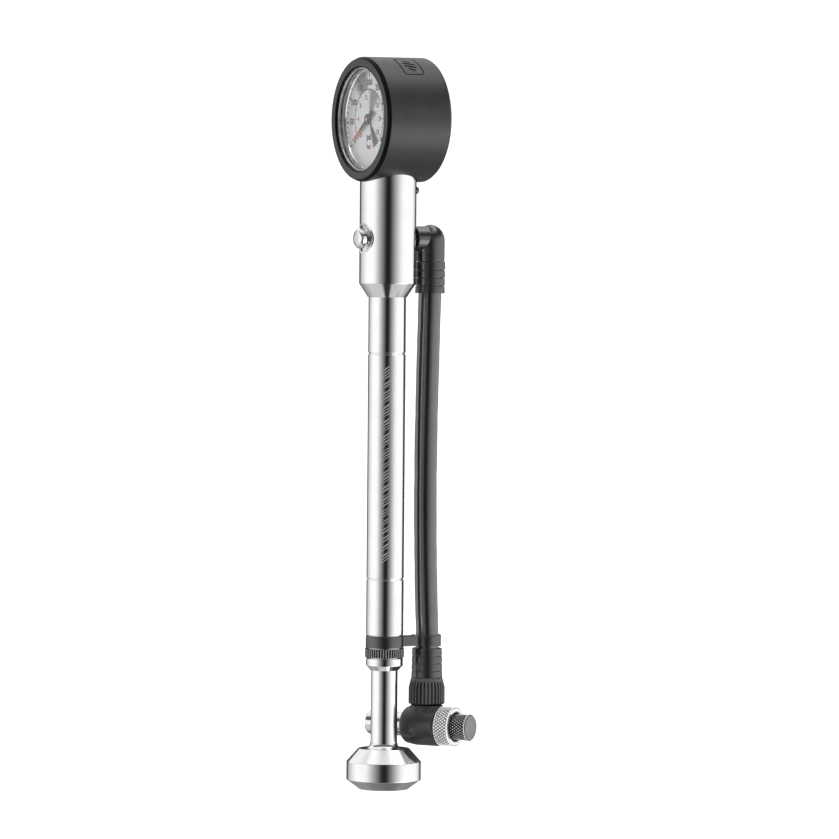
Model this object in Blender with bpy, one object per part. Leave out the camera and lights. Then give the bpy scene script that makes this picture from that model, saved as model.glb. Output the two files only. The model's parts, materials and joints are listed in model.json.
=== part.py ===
"""Mini high-pressure hand pump with a pressure gauge, stowed with its hose clipped beside the barrel.

The pump stands on the face of its pull knob, with the gauge on top. The origin is the centre of that
face, +Z runs up the barrel, the gauge looks to the front (-Y) and the hose hangs at the back (+Y).
Sizes below are millimetres; the helpers turn them into metres.
"""
import math

import bmesh
import bpy

MM = 0.001
MERGE = 1e-6

# Driving dimensions ---------------------------------------------------------------------------
GAUGE_Z = 250.7            # centre of the gauge
SWIVEL_Z = 206.25          # common height of the bleed button and the hose swivel
HOSE_Y = 18.1              # hose centre line behind the barrel
CHUCK_Z = 23.15            # axis of the valve chuck
CHUCK_TURN = math.radians(33.1)     # chuck axis, turned from +X
NEEDLE_REST = math.radians(-125.0)  # needle at zero, from straight up

BOOT_R = 23.25
BOOT_INNER_R = 20.95
CASE_R = 20.65
HEAD_R = 10.6
HEAD_LOW = 184.4
BARREL_R = 7.0
BARREL_BORE = 5.8
BARREL_LOW = 49.5
BARREL_TOP = 196.2
GROOVES = (78.9, 163.35)   # heights of the two turned lines on the barrel
ROD_R = 5.0
KNOB_R = 14.0
STROKE_TOP = 181.5         # crown of the piston when stowed
HOSE_R = 4.3
HOSE_BORE = 2.2
HOSE_TOP = 197.2
HOSE_LOW = 41.5
HOSE_BOW = 1.2             # how far the hose bows towards the barrel
CHUCK_R = 7.6
COUPLER_R = 4.5
SLEEVE_BORE = 4.45
LOCK_SCREW_Z = 224.4

PINION_TEETH = 10
SECTOR_TEETH = 80          # teeth of the full wheel that the sector is cut from
GEAR_MODULE = 0.25
GEAR_SLACK = 0.12
SECTOR_ANGLE = math.radians(-60.0)  # direction of the sector's pivot from the arbor
TAIL_R = 4.0
TAIL_ANGLE = math.radians(20.0)
BOURDON_R = 15.0

FINE = 24                  # sides of the large turned pieces
PLAIN = 16
SMALL = 12

FRONT = (math.pi / 2, 0.0, 0.0)       # local +Z points to the front
BACK = (-math.pi / 2, 0.0, 0.0)       # local +Z points to the back
ACROSS = (0.0, math.pi / 2, 0.0)      # local +Z points along +X
UPRIGHT = (0.0, 0.0, 0.0)

for old in list(bpy.data.objects):
    bpy.data.objects.remove(old)


# Materials ------------------------------------------------------------------------------------
def finish(name, colour, roughness, metallic=0.0, transmission=0.0):
    material = bpy.data.materials.new(name)
    material.use_nodes = True
    shader = material.node_tree.nodes["Principled BSDF"]
    shader.inputs["Base Color"].default_value = (*colour, 1.0)
    shader.inputs["Roughness"].default_value = roughness
    shader.inputs["Metallic"].default_value = metallic
    shader.inputs["Transmission Weight"].default_value = transmission
    return material


CHROME = finish("polished_alloy", (0.83, 0.84, 0.85), 0.10, 1.0)
STEEL = finish("steel", (0.60, 0.61, 0.62), 0.30, 1.0)
BRASS = finish("brass", (0.75, 0.58, 0.28), 0.32, 1.0)
BOOT_RUBBER = finish("boot_rubber", (0.022, 0.022, 0.023), 0.62)
BLACK_PLASTIC = finish("black_plastic", (0.018, 0.018, 0.020), 0.42)
HOSE_RUBBER = finish("hose_rubber", (0.012, 0.012, 0.013), 0.35)
SEAL_RUBBER = finish("seal_rubber", (0.015, 0.015, 0.015), 0.55)
CLEAR = finish("clear_lens", (0.98, 0.98, 0.98), 0.04, 0.0, 1.0)
DIAL_FACE = finish("dial_face", (0.72, 0.72, 0.73), 0.38, 0.7)
NEEDLE_BLACK = finish("needle_black", (0.02, 0.02, 0.02), 0.40)


# Mesh helpers ---------------------------------------------------------------------------------
def build_object(name, bm, material, parent=None, at=(0.0, 0.0, 0.0), turn=UPRIGHT):
    bmesh.ops.remove_doubles(bm, verts=bm.verts, dist=MERGE)
    bmesh.ops.recalc_face_normals(bm, faces=bm.faces)
    mesh = bpy.data.meshes.new(name)
    bm.to_mesh(mesh)
    bm.free()
    mesh.shade_smooth()
    mesh.set_sharp_from_angle(angle=math.radians(35.0))
    if material:
        mesh.materials.append(material)
    piece = bpy.data.objects.new(name, mesh)
    bpy.context.scene.collection.objects.link(piece)
    piece.parent = parent
    piece.location = [value * MM for value in at]
    piece.rotation_euler = turn
    return piece


def turned(name, profile, material, segments=FINE, parent=None, at=(0.0, 0.0, 0.0), turn=UPRIGHT):
    """Solid of revolution about local Z of (radius, height) points.

    A profile that starts and ends on the axis is left open there; any other one is a closed ring.
    """
    bm = bmesh.new()
    points = [bm.verts.new((radius * MM, 0.0, height * MM)) for radius, height in profile]
    edges = [bm.edges.new(pair) for pair in zip(points, points[1:])]
    if profile[0][0] > 0.0:
        edges.append(bm.edges.new((points[-1], points[0])))
    bmesh.ops.spin(bm, geom=points + edges, cent=(0, 0, 0), axis=(0, 0, 1),
                   angle=2 * math.pi, steps=segments)
    return build_object(name, bm, material, parent, at, turn)


def prism(name, outline, low, high, material, parent=None, at=(0.0, 0.0, 0.0), turn=UPRIGHT):
    """Outline of (x, y) points, extruded along local Z from low to high."""
    bm = bmesh.new()
    face = bm.faces.new([bm.verts.new((x * MM, y * MM, low * MM)) for x, y in outline])
    grown = bmesh.ops.extrude_face_region(bm, geom=[face])["geom"]
    moved = [item for item in grown if isinstance(item, bmesh.types.BMVert)]
    bmesh.ops.translate(bm, verts=moved, vec=(0.0, 0.0, (high - low) * MM))
    return build_object(name, bm, material, parent, at, turn)


def box(name, low, high, material, parent=None, at=(0.0, 0.0, 0.0), turn=UPRIGHT):
    """Box between two opposite corners."""
    outline = [(low[0], low[1]), (high[0], low[1]), (high[0], high[1]), (low[0], high[1])]
    return prism(name, outline, low[2], high[2], material, parent, at, turn)


def lofted(name, rings, closed, material, parent=None, at=(0.0, 0.0, 0.0), turn=UPRIGHT):
    """Skin over rings of points; a chain that isn't closed gets a cap on each end."""
    bm = bmesh.new()
    loops = [[bm.verts.new([value * MM for value in point]) for point in ring] for ring in rings]
    pairs = list(zip(loops, loops[1:]))
    if closed:
        pairs.append((loops[-1], loops[0]))
    else:
        bm.faces.new(loops[0])
        bm.faces.new(loops[-1])
    for first, second in pairs:
        for i in range(len(first)):
            j = (i + 1) % len(first)
            bm.faces.new((first[i], first[j], second[j], second[i]))
    return build_object(name, bm, material, parent, at, turn)


def circle(radius, sides, centre=(0.0, 0.0), height=0.0):
    """Points of a level circle."""
    angles = [2 * math.pi * i / sides for i in range(sides)]
    return [(centre[0] + radius * math.cos(a), centre[1] + radius * math.sin(a), height) for a in angles]


def o_ring(name, ring_r, cord_r, height, parent=None, at=(0.0, 0.0, 0.0), turn=UPRIGHT):
    angles = [2 * math.pi * i / 6 for i in range(6)]
    profile = [(ring_r + cord_r * math.cos(a), height + cord_r * math.sin(a)) for a in angles]
    return turned(name, profile, SEAL_RUBBER, PLAIN, parent, at, turn)


def coil_spring(name, coil_r, wire_r, low, high, turns, parent=None, at=(0.0, 0.0, 0.0), turn=UPRIGHT):
    """Compression spring about local Z; the wire's centre runs from low to high."""
    steps = int(turns * 10)
    rings = []
    for i in range(steps + 1):
        angle = 2 * math.pi * turns * i / steps
        height = low + (high - low) * i / steps
        ring = []
        for k in range(4):
            around = 2 * math.pi * k / 4
            radius = coil_r + wire_r * math.cos(around)
            ring.append((radius * math.cos(angle), radius * math.sin(angle),
                         height + wire_r * math.sin(around)))
        rings.append(ring)
    return lofted(name, rings, False, STEEL, parent, at, turn)


def pivot(name, at, parent=None, turn=UPRIGHT):
    """Empty on a joint's axis."""
    empty = bpy.data.objects.new(name, None)
    bpy.context.scene.collection.objects.link(empty)
    empty.parent = parent
    empty.location = [value * MM for value in at]
    empty.rotation_euler = turn
    return empty


def combine(target, tool, operation):
    tool.hide_render = True
    tool.display_type = "WIRE"
    modifier = target.modifiers.new(tool.name, "BOOLEAN")
    modifier.operation = operation
    modifier.solver = "EXACT"
    modifier.object = tool


def cut(target, *tools):
    for tool in tools:
        combine(target, tool, "DIFFERENCE")


def join(target, *tools):
    for tool in tools:
        combine(target, tool, "UNION")


def rod(name, radius, low, high, segments=PLAIN, parent=None, at=(0.0, 0.0, 0.0), turn=UPRIGHT):
    """Plain round bar, for cutting or joining."""
    return turned(name, [(0, low), (radius, low), (radius, high), (0, high)], None, segments,
                  parent, at, turn)


def ribbed_sleeve(name, bore, low, high, low_r, high_r, ribs, parent, at):
    """Hose sleeve with raised rings; its outside tapers from low_r to high_r."""
    pitch = (high - low) / (ribs - 0.45)
    land = 0.55 * pitch
    profile = [(bore, low)]
    for i in range(ribs):
        start = low + i * pitch
        end = min(start + land, high)
        radius = low_r + (high_r - low_r) * (start - low) / (high - low)
        profile += [(radius, start), (radius, end)]
        if i < ribs - 1:
            profile += [(radius - 0.6, end), (radius - 0.6, start + pitch)]
    profile.append((bore, high))
    return turned(name, profile, BLACK_PLASTIC, PLAIN, parent, at)


# Barrel, head and gland -----------------------------------------------------------------------
def make_barrel():
    groove_w, groove_d = 0.9, 0.3
    shoulder = 57.9
    profile = [(BARREL_BORE, BARREL_LOW), (6.4, BARREL_LOW), (6.4, shoulder), (BARREL_R, shoulder)]
    for height in GROOVES:
        profile += [(BARREL_R, height - groove_w / 2), (BARREL_R - groove_d, height - groove_w / 2),
                    (BARREL_R - groove_d, height + groove_w / 2), (BARREL_R, height + groove_w / 2)]
    profile += [(BARREL_R, BARREL_TOP), (BARREL_BORE, BARREL_TOP)]
    turned("barrel_tube", profile, CHROME)
    o_ring("barrel_seal", 6.4, 0.55, 197.1)


def make_head():
    gauge_bore, groove = 3.3, (227.6, 229.0)
    head = turned("head_block", [
        (7.3, HEAD_LOW), (HEAD_R, 189.5), (HEAD_R, 236.0),
        (gauge_bore, 236.0), (gauge_bore, groove[1]), (4.2, groove[1]), (4.2, groove[0]),
        (gauge_bore, groove[0]), (gauge_bore, 213.0), (1.5, 213.0), (1.5, 201.5),
        (3.2, 201.5), (3.2, 198.0), (7.15, 198.0), (7.15, HEAD_LOW)], CHROME)
    saddle = rod("saddle_cutter", BOOT_INNER_R, -15.0, 15.0, FINE, at=(0, 0, GAUGE_Z), turn=FRONT)
    seat = [(0, 0.6), (3.4, 0.6), (3.4, 8.4), (5.74, 8.4), (5.74, 12.0), (0, 12.0)]
    bleed = turned("bleed_bore_cutter", seat, None, PLAIN, at=(0, 0, SWIVEL_Z), turn=FRONT)
    swivel = rod("swivel_bore_cutter", 3.4, 0.8, 12.0, at=(0, 0, SWIVEL_Z), turn=BACK)
    screw = rod("screw_hole_cutter", 1.5, 3.0, 12.0, SMALL, at=(0, 0, LOCK_SCREW_Z), turn=BACK)
    cut(head, saddle, bleed, swivel, screw)
    turned("gauge_lock_screw", [(0, 4.3), (1.35, 4.3), (1.35, 10.9), (1.55, 10.9), (1.55, 11.8),
                                (1.2, 12.5), (0.6, 12.85), (0, 12.9)],
           STEEL, SMALL, at=(0, 0, LOCK_SCREW_Z), turn=BACK)
    o_ring("stem_seal", 3.68, 0.38, sum(groove) / 2)


def make_check_valve():
    turned("check_valve_seat", [(1.2, 183.5), (5.65, 183.5), (5.65, 197.6), (3.2, 197.6),
                                (3.2, 188.0), (1.2, 186.0)], BRASS)
    lift = pivot("check_valve_axis", (0, 0, 188.2))
    ball_r = 2.2
    bowl = [(ball_r * math.sin(a), -ball_r * math.cos(a)) for a in
            [math.radians(18.0 * i) for i in range(6)]]
    turned("check_valve_poppet", bowl + [(ball_r, 1.3), (1.2, 1.3), (1.2, 3.4), (0, 3.4)],
           BRASS, SMALL, parent=lift)
    coil_spring("check_valve_spring", 2.15, 0.28, 1.9, 12.7, 5, parent=lift)


def make_gland():
    turned("gland_bush", [
        (5.12, 44.6), (5.35, 44.6), (6.9, 46.4), (6.9, 49.1), (5.65, 49.1), (5.65, 60.0), (5.12, 60.0),
        (5.12, 48.4), (6.1, 48.4), (6.1, 46.9), (5.12, 46.9)], CHROME)
    o_ring("rod_wiper", 5.62, 0.40, 47.65)
    turned("lock_ring", [(6.55, 49.4), (7.2, 49.4), (7.36, 49.7), (7.36, 52.4), (7.2, 52.7), (6.55, 52.7)],
           BLACK_PLASTIC)


def make_hose_clip():
    low, high = 53.0, 57.6
    holder_r, grip_r = 5.3, SLEEVE_BORE
    jaw_outer, jaw_inner = 5.23, 4.37
    arm_half, jaw_end = 2.0, -3.4
    clip = rod("hose_clip", 7.2, low, high, FINE)
    clip.data.materials.append(BLACK_PLASTIC)
    holder = rod("clip_holder", holder_r, low + 0.1, high - 0.1, PLAIN, at=(0, HOSE_Y, 0))
    jaws = box("clip_jaws", (jaw_end, HOSE_Y - jaw_outer, low + 0.2),
               (0.6, HOSE_Y + jaw_outer, high - 0.2), None)
    arm = box("clip_arm", (-arm_half, 5.0, low + 0.3), (arm_half, HOSE_Y - 3.0, high - 0.3), None)
    join(clip, arm, holder, jaws)
    barrel_hole = rod("clip_barrel_cutter", 6.55, low - 1.0, high + 1.0, FINE)
    hose_hole = rod("clip_hose_cutter", grip_r, low - 1.2, high + 1.2, PLAIN, at=(0, HOSE_Y, 0))
    mouth = box("clip_mouth_cutter", (-8.0, HOSE_Y - jaw_inner, low - 1.0),
                (0.3, HOSE_Y + jaw_inner, high + 1.0), None)
    cut(clip, barrel_hole, hose_hole, mouth)


# Bleed valve ----------------------------------------------------------------------------------
def make_bleed_valve():
    at = (0, 0, SWIVEL_Z)
    turned("bleed_guide", [
        (1.7, 4.0), (3.25, 4.0), (3.25, 5.4), (2.5, 5.4), (2.5, 6.6), (3.25, 6.6), (3.25, 8.7),
        (5.0, 8.7), (5.0, 9.3), (1.7, 9.3)], BRASS, PLAIN, at=at, turn=FRONT)
    o_ring("bleed_guide_seal", 2.93, 0.34, 6.0, at=at, turn=FRONT)
    axis = pivot("bleed_axis", at)
    turned("bleed_button", [
        (0, 2.2), (2.2, 2.2), (2.2, 3.0), (1.5, 3.0), (1.5, 12.5), (3.1, 12.5), (3.1, 10.6),
        (3.55, 10.6), (3.75, 10.9), (3.75, 12.6), (3.45, 13.1), (2.4, 13.35), (0, 13.4)],
        CHROME, PLAIN, parent=axis, turn=FRONT)
    o_ring("bleed_stem_seal", 2.0, 0.35, 3.5, parent=axis, turn=FRONT)
    coil_spring("bleed_spring", 2.4, 0.22, 9.65, 12.2, 2.5, parent=axis, turn=FRONT)


# Gauge ----------------------------------------------------------------------------------------
def make_gauge_shell():
    at = (0, 0, GAUGE_Z)
    boot = turned("gauge_boot", [
        (0, -14.5), (22.65, -14.5), (BOOT_R, -13.7), (BOOT_R, 11.8), (22.75, 12.5), (19.9, 12.5),
        (19.3, 11.9), (19.3, 11.6), (BOOT_INNER_R, 11.6), (BOOT_INNER_R, -12.3), (0, -12.3)],
        BOOT_RUBBER, FINE, at=at, turn=FRONT)
    cut(boot, rod("boot_hole_cutter", HEAD_R + 0.3, 220.0, GAUGE_Z - 5.0, FINE))
    case = turned("gauge_case", [
        (0, -12.0), (CASE_R, -12.0), (CASE_R, 9.3), (20.05, 9.3), (20.05, -11.3), (0, -11.3)],
        STEEL, FINE, at=at, turn=FRONT)
    cut(case, rod("case_hole_cutter", 3.6, 220.0, GAUGE_Z - 5.0))
    turned("gauge_bezel", [
        (19.0, 10.9), (19.0, 11.35), (CASE_R, 11.35), (CASE_R, 9.6), (20.35, 9.6), (20.35, 10.9)],
        CHROME, FINE, at=at, turn=FRONT)
    turned("gauge_lens", [(0, 9.55), (20.1, 9.55), (20.1, 10.25), (0, 10.25)], CLEAR, FINE, at=at, turn=FRONT)
    turned("dial_spacer", [(18.9, 8.25), (19.8, 8.25), (19.8, 9.3), (18.9, 9.3)], STEEL, FINE,
           at=at, turn=FRONT)
    turned("gauge_dial", [(1.3, 7.43), (19.8, 7.43), (19.8, 7.93), (1.3, 7.93)], DIAL_FACE, FINE,
           at=at, turn=FRONT)
    stop_angle = NEEDLE_REST - math.radians(10.0)
    stop_r = 9.0
    rod_at = (stop_r * math.sin(stop_angle), 0, GAUGE_Z + stop_r * math.cos(stop_angle))
    pin = rod("dial_stop_pin", 0.4, 8.2, 9.2, 8, at=rod_at, turn=FRONT)
    pin.data.materials.append(STEEL)


def make_socket():
    """Brass stem, block and post that carry the tube and the movement."""
    at = (0, 0, GAUGE_Z)
    socket = rod("gauge_socket", 3.15, 213.4, GAUGE_Z - 18.0, PLAIN)
    socket.data.materials.append(BRASS)
    block = box("socket_block", (-3.5, -19.3, -9.5), (3.5, -12.0, 3.2), None, at=at, turn=FRONT)
    post = box("socket_post", (-2.4, -13.0, -7.0), (2.4, -7.0, -1.9), None, at=at, turn=FRONT)
    join(socket, block, post)
    port = rod("socket_bore_cutter", 1.0, 212.0, GAUGE_Z - 14.5, SMALL)
    side = rod("socket_side_cutter", 0.6, -5.0, 0.0, SMALL, at=(0, 6.0, GAUGE_Z - 14.5), turn=ACROSS)
    link = rod("socket_link_cutter", 0.6, -0.4, 6.3, SMALL, at=(0, 0, GAUGE_Z - 15.0), turn=BACK)
    cut(socket, port, side, link)


def make_bourdon_tube():
    """Flat spring tube, open where it meets the socket and closed at its tip."""
    start, end, steps = math.radians(-104.5), math.radians(-360.0), 24

    def section(angle, half_w, half_d):
        corners = ((-half_w, -half_d), (half_w, -half_d), (half_w, half_d), (-half_w, half_d))
        middle = -6.0
        return [((BOURDON_R + w) * math.cos(angle), (BOURDON_R + w) * math.sin(angle), middle + d)
                for w, d in corners]

    angles = [start + (end - start) * i / steps for i in range(steps + 1)]
    outer = [section(a, 1.0, 3.0) for a in angles]
    inner = [section(a, 0.6, 2.6) for a in angles[:-1]]
    tube = lofted("bourdon_tube", outer[::-1] + inner, False, BRASS, at=(0, 0, GAUGE_Z), turn=FRONT)
    lug = box("tube_tip_lug", (14.2, -2.2, -8.6), (15.8, 0.4, 1.6), None, at=(0, 0, GAUGE_Z), turn=FRONT)
    join(tube, lug)


def gear_rim(teeth, wheel_teeth, first_angle):
    """Stub-toothed rim of a wheel as (x, y) points, from the gap before the first tooth."""
    pitch_r = GEAR_MODULE * wheel_teeth / 2
    tip_r, root_r = pitch_r + 0.19, pitch_r - 0.30
    step = 2 * math.pi / wheel_teeth
    points = []
    for i in range(teeth):
        middle = first_angle + i * step
        for radius, share in ((root_r, -0.25), (tip_r, -0.12), (tip_r, 0.12), (root_r, 0.25)):
            angle = middle + share * step
            points.append((radius * math.cos(angle), radius * math.sin(angle)))
    return points


def sector_place():
    distance = GEAR_MODULE * (PINION_TEETH + SECTOR_TEETH) / 2 + GEAR_SLACK
    return distance * math.cos(SECTOR_ANGLE), distance * math.sin(SECTOR_ANGLE)


def make_movement():
    at = (0, 0, GAUGE_Z)
    sector_x, sector_z = sector_place()
    outline = [(-6.3, -0.5), (-6.3, 4.2), (8.0, 5.0), (11.4, -11.6), (-3.3, -11.6)]
    pillars = [(-4.8, 2.6), (6.6, 3.5), (9.9, -10.4), (-1.8, -10.4)]
    frame = prism("movement_frame", outline, -1.6, -0.9, BRASS, at=at, turn=FRONT)
    for i, (x, z) in enumerate(pillars):
        join(frame, rod(f"frame_pillar_{i + 1}", 1.0, -1.3, 4.3, SMALL, at=(x, 0, GAUGE_Z + z), turn=FRONT))
    plate = prism("movement_front_plate", outline, 4.6, 5.3, BRASS, at=at, turn=FRONT)
    for i, (x, z) in enumerate(((0.0, 0.0), (sector_x, sector_z))):
        hole = rod(f"arbor_hole_cutter_{i + 1}", 0.78, -3.0, 7.0, SMALL, at=(x, 0, GAUGE_Z + z), turn=FRONT)
        cut(frame, hole)
        cut(plate, hole)

    needle_axis = pivot("needle_axis", at)
    arbor = rod("needle_arbor", 0.6, -1.5, 8.7, 12, parent=needle_axis, turn=FRONT)
    arbor.data.materials.append(STEEL)
    pinion = prism("arbor_pinion", gear_rim(PINION_TEETH, PINION_TEETH, SECTOR_ANGLE), 1.0, 2.6, None,
                   parent=needle_axis, turn=FRONT)
    join(arbor, pinion)
    make_needle(needle_axis)

    sector_axis = pivot("sector_axis", (sector_x, 0, GAUGE_Z + sector_z))
    step = 2 * math.pi / SECTOR_TEETH
    towards_arbor = SECTOR_ANGLE + math.pi
    teeth, teeth_after = 11, 1.5
    first = towards_arbor - (teeth - teeth_after) * step
    sector = prism("sector_gear", [(0.0, 0.0)] + gear_rim(teeth, SECTOR_TEETH, first), 1.25, 2.35, BRASS,
                   parent=sector_axis, turn=FRONT)
    hub = turned("sector_hub", [(0, -1.5), (0.6, -1.5), (0.6, 0.9), (1.5, 0.9), (1.5, 2.7), (0.6, 2.7),
                                (0.6, 5.2), (0, 5.2)], None, 12, parent=sector_axis, turn=FRONT)
    tail_end = (TAIL_R * math.cos(TAIL_ANGLE), TAIL_R * math.sin(TAIL_ANGLE))
    side = (-0.7 * math.sin(TAIL_ANGLE), 0.7 * math.cos(TAIL_ANGLE))
    tail = prism("sector_tail", [(-side[0], -side[1]), (tail_end[0] - side[0], tail_end[1] - side[1]),
                                 (tail_end[0] + side[0], tail_end[1] + side[1]), side], 1.3, 2.3, None,
                 parent=sector_axis, turn=FRONT)
    tip = turned("sector_tail_pin", [(0, 1.2), (0.9, 1.2), (0.9, 2.4), (0.45, 2.4), (0.45, 3.7), (0, 3.7)],
                 None, 12, parent=sector_axis, at=(tail_end[0], 0, tail_end[1]), turn=FRONT)
    join(sector, hub, tail, tip)

    link_axis = pivot("link_axis", (tail_end[0], 0, tail_end[1]), parent=sector_axis)
    reach = (14.9 - sector_x - tail_end[0], -0.9 - sector_z - tail_end[1])
    length = math.hypot(*reach)
    across = (-0.6 * reach[1] / length, 0.6 * reach[0] / length)
    bar = [(-across[0], -across[1]), (reach[0] - across[0], reach[1] - across[1]),
           (reach[0] + across[0], reach[1] + across[1]), across]
    link = prism("bourdon_link", bar, 2.75, 3.35, BRASS, parent=link_axis, turn=FRONT)
    join(link, rod("link_eye", 1.0, 2.7, 3.4, SMALL, parent=link_axis, turn=FRONT),
         rod("link_tip", 0.8, 2.7, 3.4, SMALL, parent=link_axis, at=(reach[0], 0, reach[1]), turn=FRONT))
    cut(link, rod("link_hole_cutter", 0.62, 2.0, 4.0, SMALL, parent=link_axis, turn=FRONT))


def make_needle(needle_axis):
    """Pointer plate on a round hub, turned clockwise from straight up by NEEDLE_REST."""
    tip, tail = 14.2, -5.0
    right = [(0.28, tip - 0.5), (0.62, 1.0), (0.62, -1.4), (1.1, tail + 0.6), (0.9, tail)]
    left = [(-x, y) for x, y in reversed(right)]
    cosine, sine = math.cos(NEEDLE_REST), math.sin(NEEDLE_REST)
    outline = [(x * cosine + y * sine, y * cosine - x * sine) for x, y in [(0.0, tip)] + right + left]
    needle = prism("gauge_needle", outline, 8.55, 8.95, NEEDLE_BLACK, parent=needle_axis, turn=FRONT)
    hub = rod("needle_hub", 1.6, 8.2, 9.2, SMALL, parent=needle_axis, turn=FRONT)
    bore = rod("needle_bore_cutter", 0.78, 7.0, 10.0, SMALL, parent=needle_axis, turn=FRONT)
    join(needle, hub)
    cut(needle, bore)


# Pull knob, rod and piston --------------------------------------------------------------------
def make_handle():
    axis = pivot("handle_axis", (0, 0, 0))
    turned("handle_knob", [
        (0, 0), (9.2, 0), (9.5, 0.3), (KNOB_R, 3.5), (KNOB_R, 10.3), (9.55, 15.3), (6.4, 15.3),
        (5.6, 16.0), (5.35, 17.2), (5.15, 17.2), (5.15, 4.6), (0, 4.6)], CHROME, FINE, parent=axis)
    turned("piston_rod", [(3.6, 5.0), (ROD_R, 5.0), (ROD_R, 172.0), (3.6, 172.0)], CHROME, FINE, parent=axis)
    turned("piston_head", [
        (0, 165.0), (3.4, 165.0), (3.4, 172.3), (5.55, 172.3), (5.55, 174.8), (4.7, 174.8),
        (4.7, 176.6), (5.55, 176.6), (5.55, STROKE_TOP), (0, STROKE_TOP)], BLACK_PLASTIC, FINE, parent=axis)
    o_ring("piston_seal", 5.24, 0.44, 175.7, parent=axis)


# Hose -----------------------------------------------------------------------------------------
def make_hose():
    """Swivel post, elbow, hose and its two crimped sleeves."""
    turned("swivel_post", [
        (0.9, 3.2), (3.25, 3.2), (3.25, 5.6), (2.5, 5.6), (2.5, 6.8), (3.25, 6.8), (3.25, 10.4),
        (3.25, 10.75), (4.6, 10.75), (4.6, 11.6), (2.5, 11.6), (2.5, 14.0), (2.0, 14.0),
        (2.0, 15.2), (2.5, 15.2), (2.5, 17.0), (0.9, 17.0)], BRASS, PLAIN, at=(0, 0, SWIVEL_Z), turn=BACK)
    o_ring("swivel_post_seal", 2.93, 0.34, 6.2, at=(0, 0, SWIVEL_Z), turn=BACK)

    axis = pivot("hose_axis", (0, HOSE_Y, SWIVEL_Z))
    down = (0, 0, -SWIVEL_Z)
    towards = (0, -HOSE_Y, 0)
    dome_r, dome_h, dome_z = 5.4, 6.2, 205.4
    dome = [(dome_r * math.cos(a), dome_z + dome_h * math.sin(a)) for a in
            [math.radians(18.0 * i) for i in range(6)]]
    dome[-1] = (0, dome_z + dome_h)
    elbow = turned("swivel_elbow", [(0, 197.8), (dome_r, 197.8)] + dome, BLACK_PLASTIC, PLAIN, axis, down)
    join(elbow, rod("elbow_leg", 4.7, 11.9, HOSE_Y - 0.6, FINE, axis, towards, BACK))
    cut(elbow, rod("elbow_post_cutter", 2.65, 11.0, 17.4, PLAIN, axis, towards, BACK),
        rod("elbow_hose_cutter", 2.12, 197.0, 206.0, PLAIN, axis, down))
    o_ring("elbow_seal", 2.32, 0.24, 14.6, parent=axis, at=towards, turn=BACK)
    ribbed_sleeve("upper_sleeve", SLEEVE_BORE, 185.9, 197.5, 5.6, 5.75, 4, axis, down)
    turned("upper_nipple", [(0.9, 184.0), (2.0, 184.0), (2.0, 203.4), (0.9, 203.4)], BRASS, PLAIN, axis, down)

    straight_low, straight_high = 60.0, 185.0
    steps = 12
    heights = [HOSE_LOW, straight_low] + [straight_low + (straight_high - straight_low) * i / steps
                                          for i in range(1, steps)] + [straight_high, HOSE_TOP]

    def bow(height):
        share = (height - straight_low) / (straight_high - straight_low)
        share = min(max(share, 0.0), 1.0)
        return -HOSE_BOW * math.sin(math.pi * share ** 0.85)

    outer = [circle(HOSE_R, SMALL, (0, bow(z)), z) for z in heights]
    inner = [circle(HOSE_BORE, SMALL, (0, bow(z)), z) for z in reversed(heights)]
    lofted("hose", outer + inner, True, HOSE_RUBBER, axis, down)
    ribbed_sleeve("lower_sleeve", SLEEVE_BORE, 41.4, 52.4, 5.85, 5.6, 4, axis, down)
    turned("lower_nipple", [
        (0.9, 33.2), (1.9, 33.2), (1.9, 35.8), (4.6, 35.8), (4.6, 38.0), (2.0, 38.0), (2.0, 56.0),
        (0.9, 56.0)], BRASS, PLAIN, axis, down)
    return axis


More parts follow.
